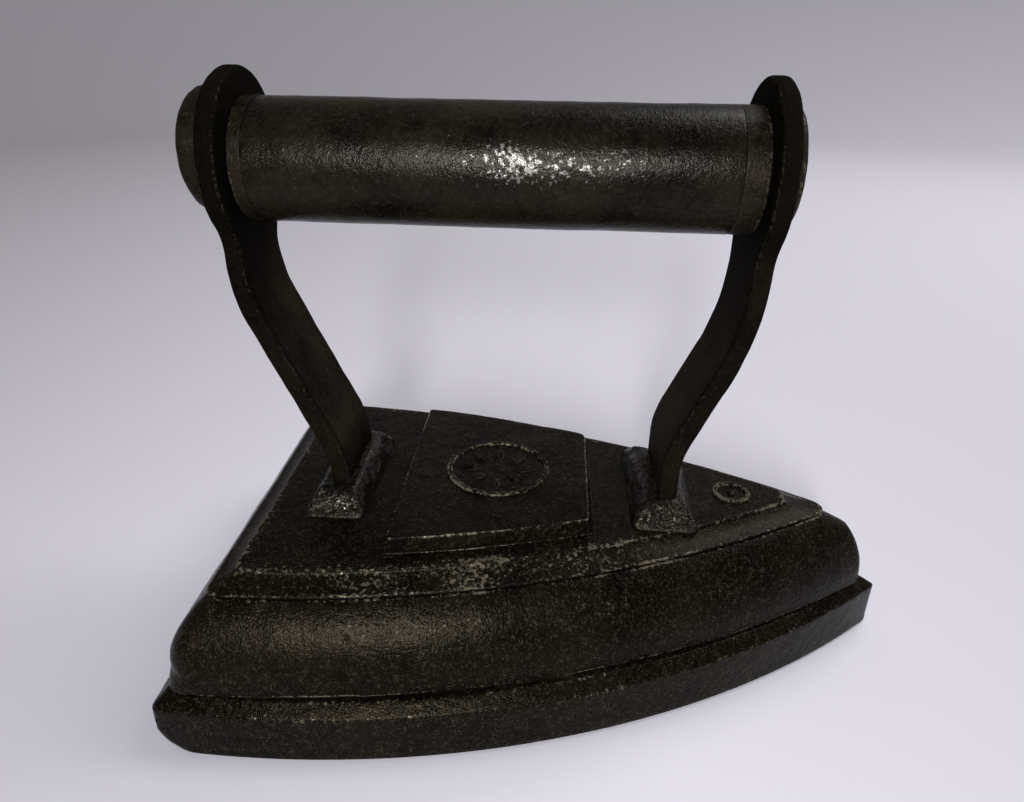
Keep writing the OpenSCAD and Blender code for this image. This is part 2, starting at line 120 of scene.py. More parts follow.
# %% [markdown]
# **Sand grain and pits.** Iron poured into sand keeps the print of the sand: a skin of round lumps under
# a millimetre wide, finer grit on them, and open pits where the sand washed or rust ate in. The group
# adds these three as one height, and also gives the pits as a mask, because soot stays dark in them.
# %% The sand_skin group
def build_sand_skin():
    group, given, result = new_group(
        "sand_skin",
        [("Place", "Vector", None), ("Lumps per metre", "Float", 900.0),
         ("Pits per metre", "Float", 260.0), ("Pit cover", "Float", 0.3)],
        [("Height", "Float"), ("Pits", "Float"), ("Crests", "Float")],
    )
    place, lump_scale = given["Place"], given["Lumps per metre"]
    lumps = noise(group, place, lump_scale, 2.0, 0.55)
    grit = noise(group, place, maths(group, "MULTIPLY", lump_scale, 3.1), 1.0, 0.5)
    swell = noise(group, place, maths(group, "MULTIPLY", lump_scale, 0.3), 1.0, 0.5)
    stir = add_node(group, "TexNoise", {"Vector": place, "Scale": lump_scale, "Detail": 1.0})
    stir = add_node(group, "VectorMath", {0: stir.outputs["Color"], 1: (0.0018, 0.0018, 0.0018), 2: place},
                    operation="MULTIPLY_ADD").outputs["Vector"]
    cells = add_node(group, "TexVoronoi", {"Vector": stir, "Scale": given["Pits per metre"],
                                           "Randomness": 1.0}, feature="F1")
    choice = add_node(group, "SeparateColor", {"Color": cells.outputs["Color"]})
    chosen = maths(group, "LESS_THAN", choice.outputs["Red"], given["Pit cover"])
    size = maths(group, "POWER", choice.outputs["Green"], 2.0)
    reach = maths(group, "MULTIPLY_ADD", size, 0.3, 0.1)
    hollow = ease_between(group, cells.outputs["Distance"], reach, maths(group, "MULTIPLY", reach, 0.3))
    pits = maths(group, "MULTIPLY", hollow, chosen)
    height = maths(group, "MULTIPLY_ADD", grit, 0.14, lumps)
    height = maths(group, "MULTIPLY_ADD", swell, 1.05, height)
    height = maths(group, "MULTIPLY_ADD", pits, -0.75, height)
    feed(group, result["Height"], height)
    feed(group, result["Pits"], pits)
    crests = maths(group, "MULTIPLY_ADD", swell, 0.4, lumps)
    feed(group, result["Crests"], ease_between(group, crests, 0.70, 0.98))
    return group


sand_skin = build_sand_skin()
print("Built", sand_skin.name, "with", len(sand_skin.nodes), "nodes")

# %% [markdown]
# **Patches.** Years of heat, wax and damp leave iron mottled: near black where the scale is whole, a dull
# olive brown where it has turned to rust. Two noises of different size, cut to a soft edge, give that.
# %% The heat_patches group
def build_heat_patches():
    group, given, result = new_group(
        "heat_patches",
        [("Place", "Vector", None), ("Patches per metre", "Float", 60.0)],
        [("Brown", "Float"), ("Fleck", "Float")],
    )
    place, scale = given["Place"], given["Patches per metre"]
    broad = noise(group, place, scale, 4.0, 0.6)
    fine = noise(group, place, maths(group, "MULTIPLY", scale, 14.0), 3.0, 0.65)
    brown = ease_between(group, maths(group, "MULTIPLY_ADD", fine, 0.35, broad), 0.45, 0.9)
    fleck = ease_between(group, fine, 0.6, 0.72)
    feed(group, result["Brown"], brown)
    feed(group, result["Fleck"], fleck)
    return group


heat_patches = build_heat_patches()
print("Built", heat_patches.name, "with", len(heat_patches.nodes), "nodes")

# %% [markdown]
# ** Rubbed edges, painted highlights and painted shade.** Each mesh below carries two numbers at every point: `edge`, 1 along a ridge that sticks out and on the patches where a highlight is painted, and `hollow`, 1 in a corner that nothing can rub and on the other places where shade is painted. Real wear is broken, so the group eats into the edge with noise, and it keeps the painted shade of the hollows soft.
# %% The group for wear, painted highlights and painted shade
def build_wear_highlight_and_shade():
    group, given, result = new_group(
        "wear_highlight_and_shade",
        [("Place", "Vector", None), ("Amount", "Float", 0.7)],
        [("Wear and highlight", "Float"), ("Painted shade", "Float")],
    )
    place = given["Place"]
    edge = add_node(group, "Attribute", {}, attribute_name="edge").outputs["Fac"]
    hollow = add_node(group, "Attribute", {}, attribute_name="hollow").outputs["Fac"]
    bite = noise(group, place, 1100.0, 3.0, 0.6)
    spread = noise(group, place, 70.0, 1.0, 0.5)
    strength = maths(group, "MULTIPLY", edge, maths(group, "MULTIPLY_ADD", spread, 1.2, 0.2))
    worn_and_highlit = maths(group, "ADD", strength, maths(group, "MULTIPLY_ADD", bite, 2.6, -1.45))
    # Rubbed edges and the painted highlight patches both come out here as pale bare metal.
    bare_and_highlight = maths(group, "MULTIPLY", ease_between(group, worn_and_highlit, 0.55, 0.95), given["Amount"])
    feed(group, result["Wear and highlight"], bare_and_highlight)
    # Painted shade: creases, hollows and the shaded places of the straps come out darker.
    feed(group, result["Painted shade"], maths(group, "MULTIPLY", hollow, 0.85))
    return group


wear_highlight_and_shade = build_wear_highlight_and_shade()
print("Built", wear_highlight_and_shade.name, "with", len(wear_highlight_and_shade.nodes), "nodes")

# %% [markdown]
# ** The finishes.** All five are iron, so one function makes them and only the values differ: the casting is coarse and pitted, the forged straps are smoother and darker, and the tube is polished by hands. The shader itself, with its bump, stays in the material. Iron with scale and soot on it reflects like a dull stone and not like a mirror, so Metallic rises only where an edge is rubbed bare and where a highlight is painted. Shade is painted into the colour in creases, in hollows and on the straps, and the crests of the grain are painted paler as glints.
# %% The function for iron finishes
def iron_finish(name, black, brown, bare_and_highlight, sheen, lumps, depth, pits=0.3, pit_scale=260.0, patches=60.0,
                wear_and_highlight_amount=0.4, reflect=0.11, tint=(1.0, 0.88, 0.70), painted_glint=0.05):
    """An iron material. sheen is its roughness (dark scale, brown rust) and depth the bump in metres."""
    material = bpy.data.materials.new(name)
    material.use_nodes = True
    tree = material.node_tree
    shader = tree.nodes["Principled BSDF"]
    place = tree.nodes.new("ShaderNodeTexCoord").outputs["Object"]

    def use(group, **values):
        made = tree.nodes.new("ShaderNodeGroup")
        made.node_tree = group
        feed(tree, made.inputs["Place"], place)
        for label, value in values.items():
            made.inputs[label.replace("_", " ")].default_value = value
        return made.outputs

    skin = use(sand_skin, Lumps_per_metre=lumps, Pits_per_metre=pit_scale, Pit_cover=pits)
    tone = use(heat_patches, Patches_per_metre=patches)
    wear_and_light = use(wear_highlight_and_shade, Amount=wear_and_highlight_amount)
    crest = skin["Crests"]
    colour = mix_colours(tree, tone["Brown"], (*black, 1), (*brown, 1))
    # Painted glints: the crests of the grain are mixed towards the pale colour, as sparkles of light. The flecks
    # are random lighter tone.
    flecks_and_glints = maths(tree, "MULTIPLY_ADD", crest, painted_glint, maths(tree, "MULTIPLY", tone["Fleck"], 0.012))
    colour = mix_colours(tree, flecks_and_glints, colour, (*bare_and_highlight, 1))
    # Pits are darkened as real pits, and the hollow value adds painted shade, towards a near-black colour.
    pits_and_painted_shade = maths(tree, "MAXIMUM", maths(tree, "MULTIPLY", skin["Pits"], 0.7), wear_and_light["Painted shade"])
    colour = mix_colours(tree, pits_and_painted_shade, colour, (0.002, 0.0018, 0.0014, 1))
    # Rubbed edges and painted highlights both turn pale and partly metallic here.
    colour = mix_colours(tree, wear_and_light["Wear and highlight"], colour, (*bare_and_highlight, 1))
    feed(tree, shader.inputs["Base Color"], colour)

    rough = maths(tree, "MULTIPLY_ADD", tone["Brown"], sheen[1] - sheen[0], sheen[0])
    rough = maths(tree, "MULTIPLY_ADD", pits_and_painted_shade, 0.25, rough)
    rough = maths(tree, "MULTIPLY_ADD", wear_and_light["Wear and highlight"], -0.12, rough)
    rough = maths(tree, "MULTIPLY_ADD", crest, -0.05, rough)
    feed(tree, shader.inputs["Roughness"], rough)
    feed(tree, shader.inputs["Metallic"], maths(tree, "MULTIPLY", wear_and_light["Wear and highlight"], 0.6))
    shader.inputs["Specular IOR Level"].default_value = reflect
    shader.inputs["Specular Tint"].default_value = (*tint, 1)
    bump = add_node(tree, "Bump", {"Strength": 1.0, "Distance": depth, "Height": skin["Height"]})
    feed(tree, shader.inputs["Normal"], bump.outputs["Normal"])
    return material


# %% Five irons
cast_iron = iron_finish("cast_iron", (0.0010, 0.0008, 0.0004), (0.0044, 0.0033, 0.0016),
                        (0.24, 0.208, 0.154), (0.18, 0.25), 2400, 0.00012, pits=0.2, pit_scale=520,
                        wear_and_highlight_amount=0.36, reflect=0.058, tint=(1.0, 0.84, 0.6), painted_glint=0.085)
forged_iron = iron_finish("forged_iron", (0.0022, 0.0017, 0.0009), (0.0200, 0.0158, 0.0096),
                          (0.16, 0.145, 0.12), (0.50, 0.66), 2600, 0.00016, pits=0.15, pit_scale=420,
                          patches=45, wear_and_highlight_amount=0.08, reflect=0.008, painted_glint=0.09)
handle_iron = iron_finish("handle_iron", (0.0014, 0.0011, 0.0006), (0.0085, 0.0066, 0.0038),
                          (0.26, 0.25, 0.235), (0.19, 0.28), 2700, 0.000095, pits=0.15, pit_scale=420,
                          wear_and_highlight_amount=0.55, reflect=0.085, tint=(1.0, 0.92, 0.82), painted_glint=0.03)
ferrule_iron = iron_finish("ferrule_iron", (0.0022, 0.0017, 0.0010), (0.0135, 0.0107, 0.0066),
                           (0.16, 0.142, 0.112), (0.28, 0.40), 2700, 0.00013, pits=0.15, pit_scale=420,
                           wear_and_highlight_amount=0.2, reflect=0.06, painted_glint=0.08)
rivet_iron = iron_finish("rivet_iron", (0.0022, 0.0018, 0.0011), (0.0100, 0.0082, 0.0050),
                         (0.13, 0.117, 0.094), (0.34, 0.48), 1500, 0.00014, pits=0.2, pit_scale=420,
                         reflect=0.04)
# A paler copy of the cast iron for the bosses: a brighter bare colour, used more, gives their ends a painted
# highlight.
boss_highlit_iron = iron_finish("boss_highlit_iron", (0.0012, 0.0010, 0.0006), (0.0056, 0.0045, 0.0028),
                        (0.34, 0.315, 0.275), (0.15, 0.25), 2000, 0.00020, pits=0.25, pit_scale=420,
                        wear_and_highlight_amount=0.7, reflect=0.17)
print("Finishes:", [m.name for m in bpy.data.materials])

# %% [markdown]
# ** Surfaces from numbers.** Every piece below is a stack of closed rings: a section is carried round a plan, along a bent line or about an axis, and whole arrays of points come out at once. Three helpers do the common work. `eased` rounds the corners of a section, because no cast or forged corner is sharp, and notes where the ridges and the hollows are. `lattice_noise` gives the small unevenness that a mould or a hammer leaves. `make_piece` turns the rings into a closed mesh and hides the CAD node it stands for.
# %% Section and noise helpers
RIDGE_SPREAD = 0.3
WELD = 0.002


def eased(corners, spacing):
    """Points along a polyline of (across, up, radius). Each corner becomes an arc of its radius that
    touches both of its sides, and long runs are divided. Also returns ridge and hollow from 0 to 1,
    which fall off as exp(-(distance / RIDGE_SPREAD)²) from the arcs that turn left and right."""
    given = np.array(corners, dtype=float)
    path, turns = [given[0, :2]], [0.0]
    for before, corner, after in zip(given[:-2], given[1:-1], given[2:]):
        run_in, run_out = corner[:2] - before[:2], after[:2] - corner[:2]
        length_in, length_out = np.hypot(*run_in), np.hypot(*run_out)
        run_in, run_out = run_in / length_in, run_out / length_out
        turn = np.arctan2(run_in[0] * run_out[1] - run_in[1] * run_out[0], run_in @ run_out)
        if corner[2] == 0 or abs(turn) < 0.05:
            path.append(corner[:2])
            turns.append(0.0)
            continue
        reach = min(corner[2] * np.tan(abs(turn) / 2), 0.48 * length_in, 0.48 * length_out)
        radius = reach / np.tan(abs(turn) / 2)
        first = corner[:2] - run_in * reach
        middle = first + np.array([-run_in[1], run_in[0]]) * radius * np.sign(turn)
        angle = turn * np.linspace(0, 1, max(4, int(abs(turn) / 0.32) + 1))
        arm = first - middle
        path.extend(np.stack([middle[0] + arm[0] * np.cos(angle) - arm[1] * np.sin(angle),
                              middle[1] + arm[0] * np.sin(angle) + arm[1] * np.cos(angle)], axis=-1))
        turns.extend([np.sign(turn)] * len(angle))
    path.append(given[-1, :2])
    turns.append(0.0)
    path, turns = np.array(path), np.array(turns)
    along = np.concatenate([[0], np.cumsum(np.hypot(*np.diff(path, axis=0).T))])
    stations = np.concatenate([np.linspace(a, b, max(1, int(np.ceil((b - a) / spacing))), endpoint=False)
                               for a, b in zip(along[:-1], along[1:])] + [along[-1:]])
    points = np.stack([np.interp(stations, along, path[:, 0]), np.interp(stations, along, path[:, 1])], -1)

    def nearness(sign):
        places = along[turns == sign]
        if not len(places):
            return np.zeros(len(stations))
        return np.exp(-(np.abs(stations[:, None] - places).min(axis=1) / RIDGE_SPREAD) ** 2)

    return points, nearness(1), nearness(-1)


def arc(middle, radius, first, last, count):
    """Corner-free points of an arc between two angles in degrees: middle + radius (cos a, sin a)."""
    angle = np.radians(np.linspace(first, last, count))
    return [(middle[0] + radius * np.cos(a), middle[1] + radius * np.sin(a), 0) for a in angle]


def lattice_noise(points, size, seed):
    """Smooth random value from -1 to 1. A lattice with cells of this size has a random value at each
    knot, and a point blends the eight knots of its cell with weights 6t⁵ - 15t⁴ + 10t³."""
    spun = points @ np.array([[0.80, 0.36, -0.48], [-0.60, 0.48, -0.64], [0.00, 0.80, 0.60]])
    cell = np.floor(spun / size)
    part = spun / size - cell
    part = part * part * part * (part * (part * 6 - 15) + 10)
    total = np.zeros(points.shape[:-1])
    for corner in product((0, 1), repeat=3):
        key = ((cell + corner).astype(np.int64) @ np.array([73856093, 19349663, 83492791])) + seed * 7919
        key = (key ^ (key >> 15)) * 668265263
        value = ((key ^ (key >> 13)) & 0xFFFF) / 32767.5 - 1
        total += value * np.prod(np.where(corner, part, 1 - part), axis=-1)
    return total


def facing(rings):
    """Unit vector out of the surface at each point, from the steps along and across the rings."""
    across = np.roll(rings, -1, axis=1) - np.roll(rings, 1, axis=1)
    along = np.gradient(rings, axis=0)
    out = np.cross(across, along)
    return out / np.maximum(np.linalg.norm(out, axis=-1, keepdims=True), 1e-12)


def roughen(rings, lumps, seed, where=1.0):
    """Moves the surface in and out by depth × noise / 2 for each (size, depth) in lumps. where scales
    the depth from point to point. Points that lie on each other, at a seam or a pole, all move to the
    middle of where they would go, so that the surface stays closed."""
    out = facing(rings)
    if (out * (rings - rings.mean(axis=(0, 1)))).sum() < 0:
        out = -out
    depth = sum(deep * lattice_noise(rings, size, seed + turn) / 2
                for turn, (size, deep) in enumerate(lumps))
    moved = (rings - out * (depth * where)[..., None]).reshape(-1, 3)
    knots = np.round(rings.reshape(-1, 3) / WELD).astype(np.int64)
    _, shared = np.unique(knots, axis=0, return_inverse=True)
    shared = shared.ravel()
    count = np.bincount(shared)
    middle = np.stack([np.bincount(shared, axis) / count for axis in moved.T], axis=-1)
    return middle[shared].reshape(rings.shape)


# %% Mesh helpers
def ring_mesh(name, rings):
    """A mesh of quads between rings, an array (ring, point, 3). Each ring is closed, and the faces are
    turned so that the signed volume, the sum of a·(b×c) / 6, is positive."""
    count, around = rings.shape[:2]
    index = np.arange(count * around).reshape(count, around)
    beside = np.roll(index, -1, axis=1)
    quads = np.stack([index[:-1], beside[:-1], beside[1:], index[1:]], axis=-1).reshape(-1, 4)
    points = rings.reshape(-1, 3)
    a, b, c, d = (points[quads[:, corner]] for corner in range(4))
    volume = (a * (np.cross(b, c) + np.cross(c, d))).sum() / 6
    if volume < 0:
        quads = quads[:, ::-1]
    mesh = bpy.data.meshes.new(name)
    mesh.vertices.add(len(points))
    mesh.vertices.foreach_set("co", points.astype(np.float32).ravel())
    mesh.loops.add(quads.size)
    mesh.loops.foreach_set("vertex_index", quads.astype(np.int32).ravel())
    mesh.polygons.add(len(quads))
    mesh.polygons.foreach_set("loop_start", np.arange(0, quads.size, 4, dtype=np.int32))
    mesh.update(calc_edges=True)
    return mesh


def make_piece(name, rings, ridge, hollow, finish, slot_name, *nodes):
    """Makes one closed piece from rings in mm. ridge and hollow are one value for each ring or point."""
    mesh = ring_mesh(name, rings * MM)
    for label, values in (("edge", ridge), ("hollow", hollow)):
        values = np.asarray(values, dtype=np.float32)
        if values.ndim == 1:
            values = values[:, None]
        layer = mesh.attributes.new(label, "FLOAT", "POINT")
        layer.data.foreach_set("value", np.broadcast_to(values, rings.shape[:2]).ravel())
    merged = bmesh.new()
    merged.from_mesh(mesh)
    bmesh.ops.remove_doubles(merged, verts=merged.verts, dist=WELD * MM)
    open_edges = sum(not edge.is_manifold for edge in merged.edges)
    merged.to_mesh(mesh)
    merged.free()
    mesh.shade_smooth()
    mesh.materials.append(finish)
    piece = bpy.data.objects.new(name, mesh)
    bpy.context.scene.collection.objects.link(piece)
    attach(piece, "root")
    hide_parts(*nodes)
    print(name, "has", len(mesh.polygons), "faces and", open_edges, "open edges")
    return piece


# %% [markdown]
# **Sizes.** Lengths in the pieces are in mm. The places come from the frame, and the plan radii and the
# heights of the moulding repeat what the CAD was drawn with.
# %% Sizes of the casting
HEEL_X = casting_low.x / MM
TOE_X = casting_high.x / MM
HALF_WIDTH = 52.5
TOP = 37.0
NOSE_RADIUS = 17.0
BULGE_INSET = 2.0
SOLE_SIDE = {"radius": 228.0, "tip": TOE_X + 0.4, "nose": TOE_X - NOSE_RADIUS, "heel": HEEL_X,
             "corner": ((0, 3, 6, 9, 14.3), (10.0, 4.6, 1.7, 1.5, 2.0))}
BODY_SIDE = {"radius": 260.0, "tip": TOE_X + 2.5, "nose": TOE_X - 3.8 - NOSE_RADIUS, "heel": HEEL_X + 0.5,
             "corner": ((15, 19, 23, 27, 31, 34), (4.0, 7.5, 5.3, 3.9, 3.2, 2.7))}
FAR = 1.0e4
print("Heel at", round(HEEL_X, 2), "and toe at", round(TOE_X, 2))

# %% [markdown]
# **Plan of the iron.** Seen from above, the iron is what two large circles, a straight heel and a small
# round nose all enclose. A ray that starts on the centre line leaves each of these at a distance that a
# short formula gives, and the smallest one is the outline. Where two are nearly equal, `soft_min` eases
# the corner between them. The same rays carry every level of the section, so the rings line up.
# %% Rays in plan
def leave_disc(start, way, middle, radius):
    """How far a ray runs before it leaves a disc: -b + √(b² - c), b = way·rel, c = rel² - radius²."""
    rel_x, rel_y = start[..., 0] - middle[0], start[..., 1] - middle[1]
    b = rel_x * way[..., 0] + rel_y * way[..., 1]
    return -b + np.sqrt(np.maximum(b * b - rel_x ** 2 - rel_y ** 2 + radius ** 2, 0))


def leave_line(start, way, toward, distance):
    """How far a ray runs to the line toward·p = distance, or FAR if it never gets there."""
    rate = way[..., 0] * toward[0] + way[..., 1] * toward[1]
    gap = distance - start[..., 0] * toward[0] - start[..., 1] * toward[1]
    return np.where(rate > 1e-4, gap / np.maximum(rate, 1e-4), FAR)


def soft_min(one, other, ease):
    """The smaller of two, less h² ease / 4 with h = max(ease - |one - other|, 0) / ease."""
    close = np.maximum(ease - np.abs(one - other), 0) / ease
    return np.minimum(one, other) - close * close * ease / 4


def rays(rear, front, box_rear, box_front, half_width, spacing):
    """Starts and ways of the rays: a fan at the rear of the spine, straight out beside it and a fan at
    the front. They aim at points that lie evenly on a box round the plan, then the other side follows
    in mirror image."""
    across = np.arange(0, half_width, spacing)
    back = np.stack([np.full_like(across, box_rear), across], axis=-1)
    x = np.arange(box_rear, box_front, spacing)
    beside = np.stack([x, np.full_like(x, half_width)], axis=-1)
    ahead = np.stack([np.full_like(across, box_front), across[::-1]], axis=-1)
    aim = np.concatenate([back, beside, ahead])
    start = np.stack([np.clip(aim[:, 0], rear, front), np.zeros(len(aim))], axis=-1)
    aim = np.concatenate([aim, aim[-2:0:-1] * (1, -1)])
    start = np.concatenate([start, start[-2:0:-1]])
    way = aim - start
    return start, way / np.linalg.norm(way, axis=-1, keepdims=True)


def side_middle(side):
    """Plan middle of one side's circle, which is widest at HALF_WIDTH and crosses y = 0 at the tip."""
    radius = side["radius"]
    return side["tip"] - np.sqrt(HALF_WIDTH * (2 * radius - HALF_WIDTH)), radius - HALF_WIDTH


def leave_corner(start, way, inset, side, corner):
    """How far a ray runs to the arc of a rounded heel corner, or FAR if it leaves beside the arc. The
    arc's middle keeps its radius from the heel line and from the side, and the arc spans the wedge
    between the heel's direction and that of the side's own middle. Both corners are worked out as one,
    because the rays start on the centre line and may be mirrored."""
    middle_x, middle_y = side_middle(side)
    from_side = side["radius"] - inset - corner
    x = side["heel"] + inset + corner
    y = np.sqrt(from_side ** 2 - (x - middle_x) ** 2) - middle_y
    mirrored = np.abs(way) * (np.sign(way[..., :1]) * (1, 0) + (0, 1))
    distance = leave_disc(start, mirrored, (x, y), corner)
    arm_x = start[..., 0] + distance * mirrored[..., 0] - x
    arm_y = distance * mirrored[..., 1] - y
    past_side = (x - middle_x) * arm_y - (y + middle_y) * arm_x
    return np.where((arm_y >= 0) & (past_side >= 0), distance, FAR)


def boat_distance(start, way, inset, level, side, nose_ease=0.5):
    """Distance along each ray to the iron's outline at a level, moved inwards by inset. The sides meet
    in a point that is eased more, the further in it lies, as a file or a boot would round it. The radius
    of the heel corners is read off a short table of levels and radii, because they turn under."""
    tip_ease = 1.0 + 1.1 * np.maximum(inset - BULGE_INSET, 0)
    middle_x, middle_y = side_middle(side)
    near = leave_disc(start, way, (middle_x, middle_y), side["radius"] - inset)
    far = leave_disc(start, way, (middle_x, -middle_y), side["radius"] - inset)
    reach = soft_min(near, far, tip_ease)
    nose = leave_disc(start, way, (side["nose"], 0), np.maximum(NOSE_RADIUS - inset, 0.5))
    beyond = start[..., 0] + nose * way[..., 0] > side["nose"]
    reach = soft_min(reach, np.where(beyond, nose, FAR), nose_ease)
    corner = np.interp(level, *side["corner"])
    reach = np.minimum(reach, leave_line(start, way, (-1, 0), -side["heel"] - inset))
    return np.minimum(reach, leave_corner(start, way, inset, side, corner))


# %% [markdown]
# **The casting.** One section goes right round the iron: a rim, a sloping shoulder, a narrow neck, the
# bulge, a grooved lip and a hollow cove up to the flat top. A patternmaker would turn or scrape it with a
# template, so here too it is one template. Its mould was sand, so broad swells and lumps sink the skin a
# little, and a shallow flaw lies low on the side near the heel, as on the real one.
# %% Section of the casting
SKIN_SPACING = 0.8
LIP_LEVEL = 33.6
# Middle and reach along the iron of the painted highlight on the lip, the cove and the upper bulge.
COVE_HIGHLIGHT_X, COVE_HIGHLIGHT_LENGTH = -16.0, 68.0
RIM_SECTION = [(-6, 0, 0), (-0.8, 0, 0.5), (0, 0.8, 0.6), (0, 12, 0.8), (-2.5, 14.3, 0.6), (-3.0, 14.3, 0)]
bulge = arc((-22, 17), 20, np.degrees(np.arcsin(-1.8 / 20)), np.degrees(np.arcsin(16.1 / 20)), 30)
cove = arc((-8.73, 43.31), 9, -97.5, -130.8, 10)
bulge[0] = (*bulge[0][:2], 0.45)
bulge[-1] = (*bulge[-1][:2], 0.6)
cove[0] = (*cove[0][:2], 0.35)
BODY_SECTION = [(-3.0, 14.3, 0), (-3.1, 14.4, 0.3), (-2.9, 15.1, 0.5), *bulge, (-10.8, 33.1, 0.25),
                (-10.8, 33.8, 0.25), (-9.9, 33.8, 0.28), *cove, (-14.6, 36.6, 0.3), (-14.6, TOP, 0.32),
                (-16.2, TOP, 0)]
rim_line, rim_ridge, rim_hollow = eased(RIM_SECTION, SKIN_SPACING)
body_line, body_ridge, body_hollow = eased(BODY_SECTION, SKIN_SPACING)
rim_ridge = 0.6 * rim_ridge
# Painted highlight by height: full on the lip and in the cove, a weaker band on the upper bulge.
cove_highlight = np.where(body_line[:, 1] > LIP_LEVEL, 0.92, np.interp(body_line[:, 1], (22, 29, 33), (0, 0.6, 0.2)))
print("Section of", len(rim_line) + len(body_line), "points")

# %% Casting
SPINE_REAR, SPINE_FRONT = -52.0, 46.0
starts, ways = rays(SPINE_REAR, SPINE_FRONT, HEEL_X, TOE_X, HALF_WIDTH, 0.92)


def boat_rings(line, side):
    """One ring for each (out, up) of the section: start + way × distance in plan, up as its height."""
    distance = boat_distance(starts, ways, -line[:, :1], line[:, 1:2], side)
    plan = starts + ways * distance[..., None]
    height = np.broadcast_to(line[:, 1, None, None], (*distance.shape, 1))
    return np.concatenate([plan, height], axis=-1)


def shrink_to_spine(ring, steps, power=1.0):
    """Rings from the spine out to a ring, at shares t ** power of the way."""
    share = (np.arange(steps) / steps)[:, None, None] ** power
    plan = starts + (ring[None, :, :2] - starts) * share
    return np.concatenate([plan, np.broadcast_to(ring[None, :, 2:], (*plan.shape[:2], 1))], axis=-1)


rim_rings, body_rings = boat_rings(rim_line, SOLE_SIDE), boat_rings(body_line, BODY_SIDE)
sole_rings = shrink_to_spine(rim_rings[0], 8)
flat_rings = shrink_to_spine(body_rings[-1], 30)[::-1]
casting = np.concatenate([sole_rings, rim_rings, body_rings, flat_rings])
plain = np.zeros(len(sole_rings)), np.zeros(len(flat_rings))
casting_ridge = np.concatenate([plain[0], rim_ridge, body_ridge, plain[1]])
casting_hollow = np.concatenate([plain[0], rim_hollow, body_hollow, plain[1]])


def smooth_step(value, low, high):
    """0 below low, 1 above high, 3t² - 2t³ between them."""
    share = np.clip((value - low) / (high - low), 0, 1)
    return share * share * (3 - 2 * share)


# Painted highlight: the pale band is strongest a little behind the middle and fades out towards the toe. It goes
# into the edge value with the rubbed ridges.
highlight_along = np.exp(-((casting[..., 0] - COVE_HIGHLIGHT_X) / COVE_HIGHLIGHT_LENGTH) ** 2) * smooth_step(-casting[..., 0], -40, -8)
casting_highlight = np.concatenate([0 * sole_rings[:, 0, 0], 0 * rim_ridge, cove_highlight, plain[1]])[:, None] * highlight_along
casting_ridge = np.maximum(casting_ridge[:, None], casting_highlight)
above_sole = smooth_step(casting[..., 2], 0.4, 2.5)
casting = roughen(casting, [(17, 0.22), (6.5, 0.14), (2.6, 0.10)], 11, above_sole)
FLAW = {"x": (-57.0, -39.5), "z": (15.8, 22.6), "depth": 0.32, "edge": 1.1}
in_flaw = np.prod([smooth_step(casting[..., axis], span[0] - FLAW["edge"], span[0])
                   * smooth_step(-casting[..., axis], -span[1] - FLAW["edge"], -span[1])
                   for axis, span in ((0, FLAW["x"]), (2, FLAW["z"]))], axis=0)
casting[..., 1] += np.where(casting[..., 1] < 0, FLAW["depth"] * in_flaw, 0)
make_piece("casting", casting, casting_ridge, casting_hollow, cast_iron, "cast_iron", "body_casting")

# %% [markdown]
# **Foot bosses.** Each strap stands in a block that was cast with the iron. The molten iron shrank round
# the foot, so the block's edges are blunt and its foot flows into the top. It is a rounded rectangle that
# changes size from level to level.
# %% Bosses
BOSS_TOP = 42.0
BOSS_HEIGHT = BOSS_TOP - TOP
BOSS_CORNER, BOSS_SIDE_SLOPE, BOSS_END_SLOPE = 2.2, 3.0, 4.6
rear_low, rear_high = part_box("rear_upright")
front_low, front_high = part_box("front_upright")
STRAP_HALF, STRAP_FOOT_HALF = 1.95, 2.15
REAR_FOOT_X = rear_high.x / MM - STRAP_FOOT_HALF
FRONT_FOOT_X = front_low.x / MM + STRAP_FOOT_HALF


def rounded_box(half_x, half_y, radius, spacing):
    """A closed loop with four rounded corners, from eased corners of a rectangle."""
    loop = [(half_x, 0, 0), (half_x, half_y, radius), (-half_x, half_y, radius),
            (-half_x, -half_y, radius), (half_x, -half_y, radius), (half_x, 0, 0)]
    return eased(loop, spacing)[0][:-1]


def boss_rings(middle_x, half_length, half_width):
    """A block over a rounded box. Its height is the smallest of its flat top, a slope from each side,
    (half length - |x|) × rise, and a slope from each end, with soft edges where they meet. At the foot
    it turns out again into the flat top of the iron."""
    loop = rounded_box(half_length, half_width, BOSS_CORNER, 0.4)
    share = np.linspace(1, 0, 46)[:, None]
    x, y = loop[:, 0] * share, loop[:, 1] * share
    side = (half_length - np.abs(x)) * BOSS_HEIGHT / BOSS_SIDE_SLOPE
    end = (half_width - np.abs(y)) * BOSS_HEIGHT / BOSS_END_SLOPE
    up = soft_min(soft_min(side, end, 0.9), BOSS_HEIGHT, 1.2)
    up = np.maximum(up, 0)
    mound = np.stack([x, y, TOP + up], axis=-1)
    skirt = [np.stack([loop[:, 0] * size, loop[:, 1] * size, np.full(len(loop), TOP - 0.6)], axis=-1)
             for size in (0, 1)]
    # The ends get a painted highlight through the edge value, and the foot of the block a painted shade through the
    # hollow value.
    end_highlight = smooth_step(-end, -0.9 * BOSS_HEIGHT, -0.5 * BOSS_HEIGHT) * smooth_step(up, 0.5, 2.0)
    plain = np.zeros((len(skirt), len(loop)))
    rings = np.concatenate([skirt, mound]) + (middle_x, 0, 0)
    return rings, np.concatenate([plain, 0.76 * end_highlight]), np.concatenate([plain, np.exp(-up / 0.5)])


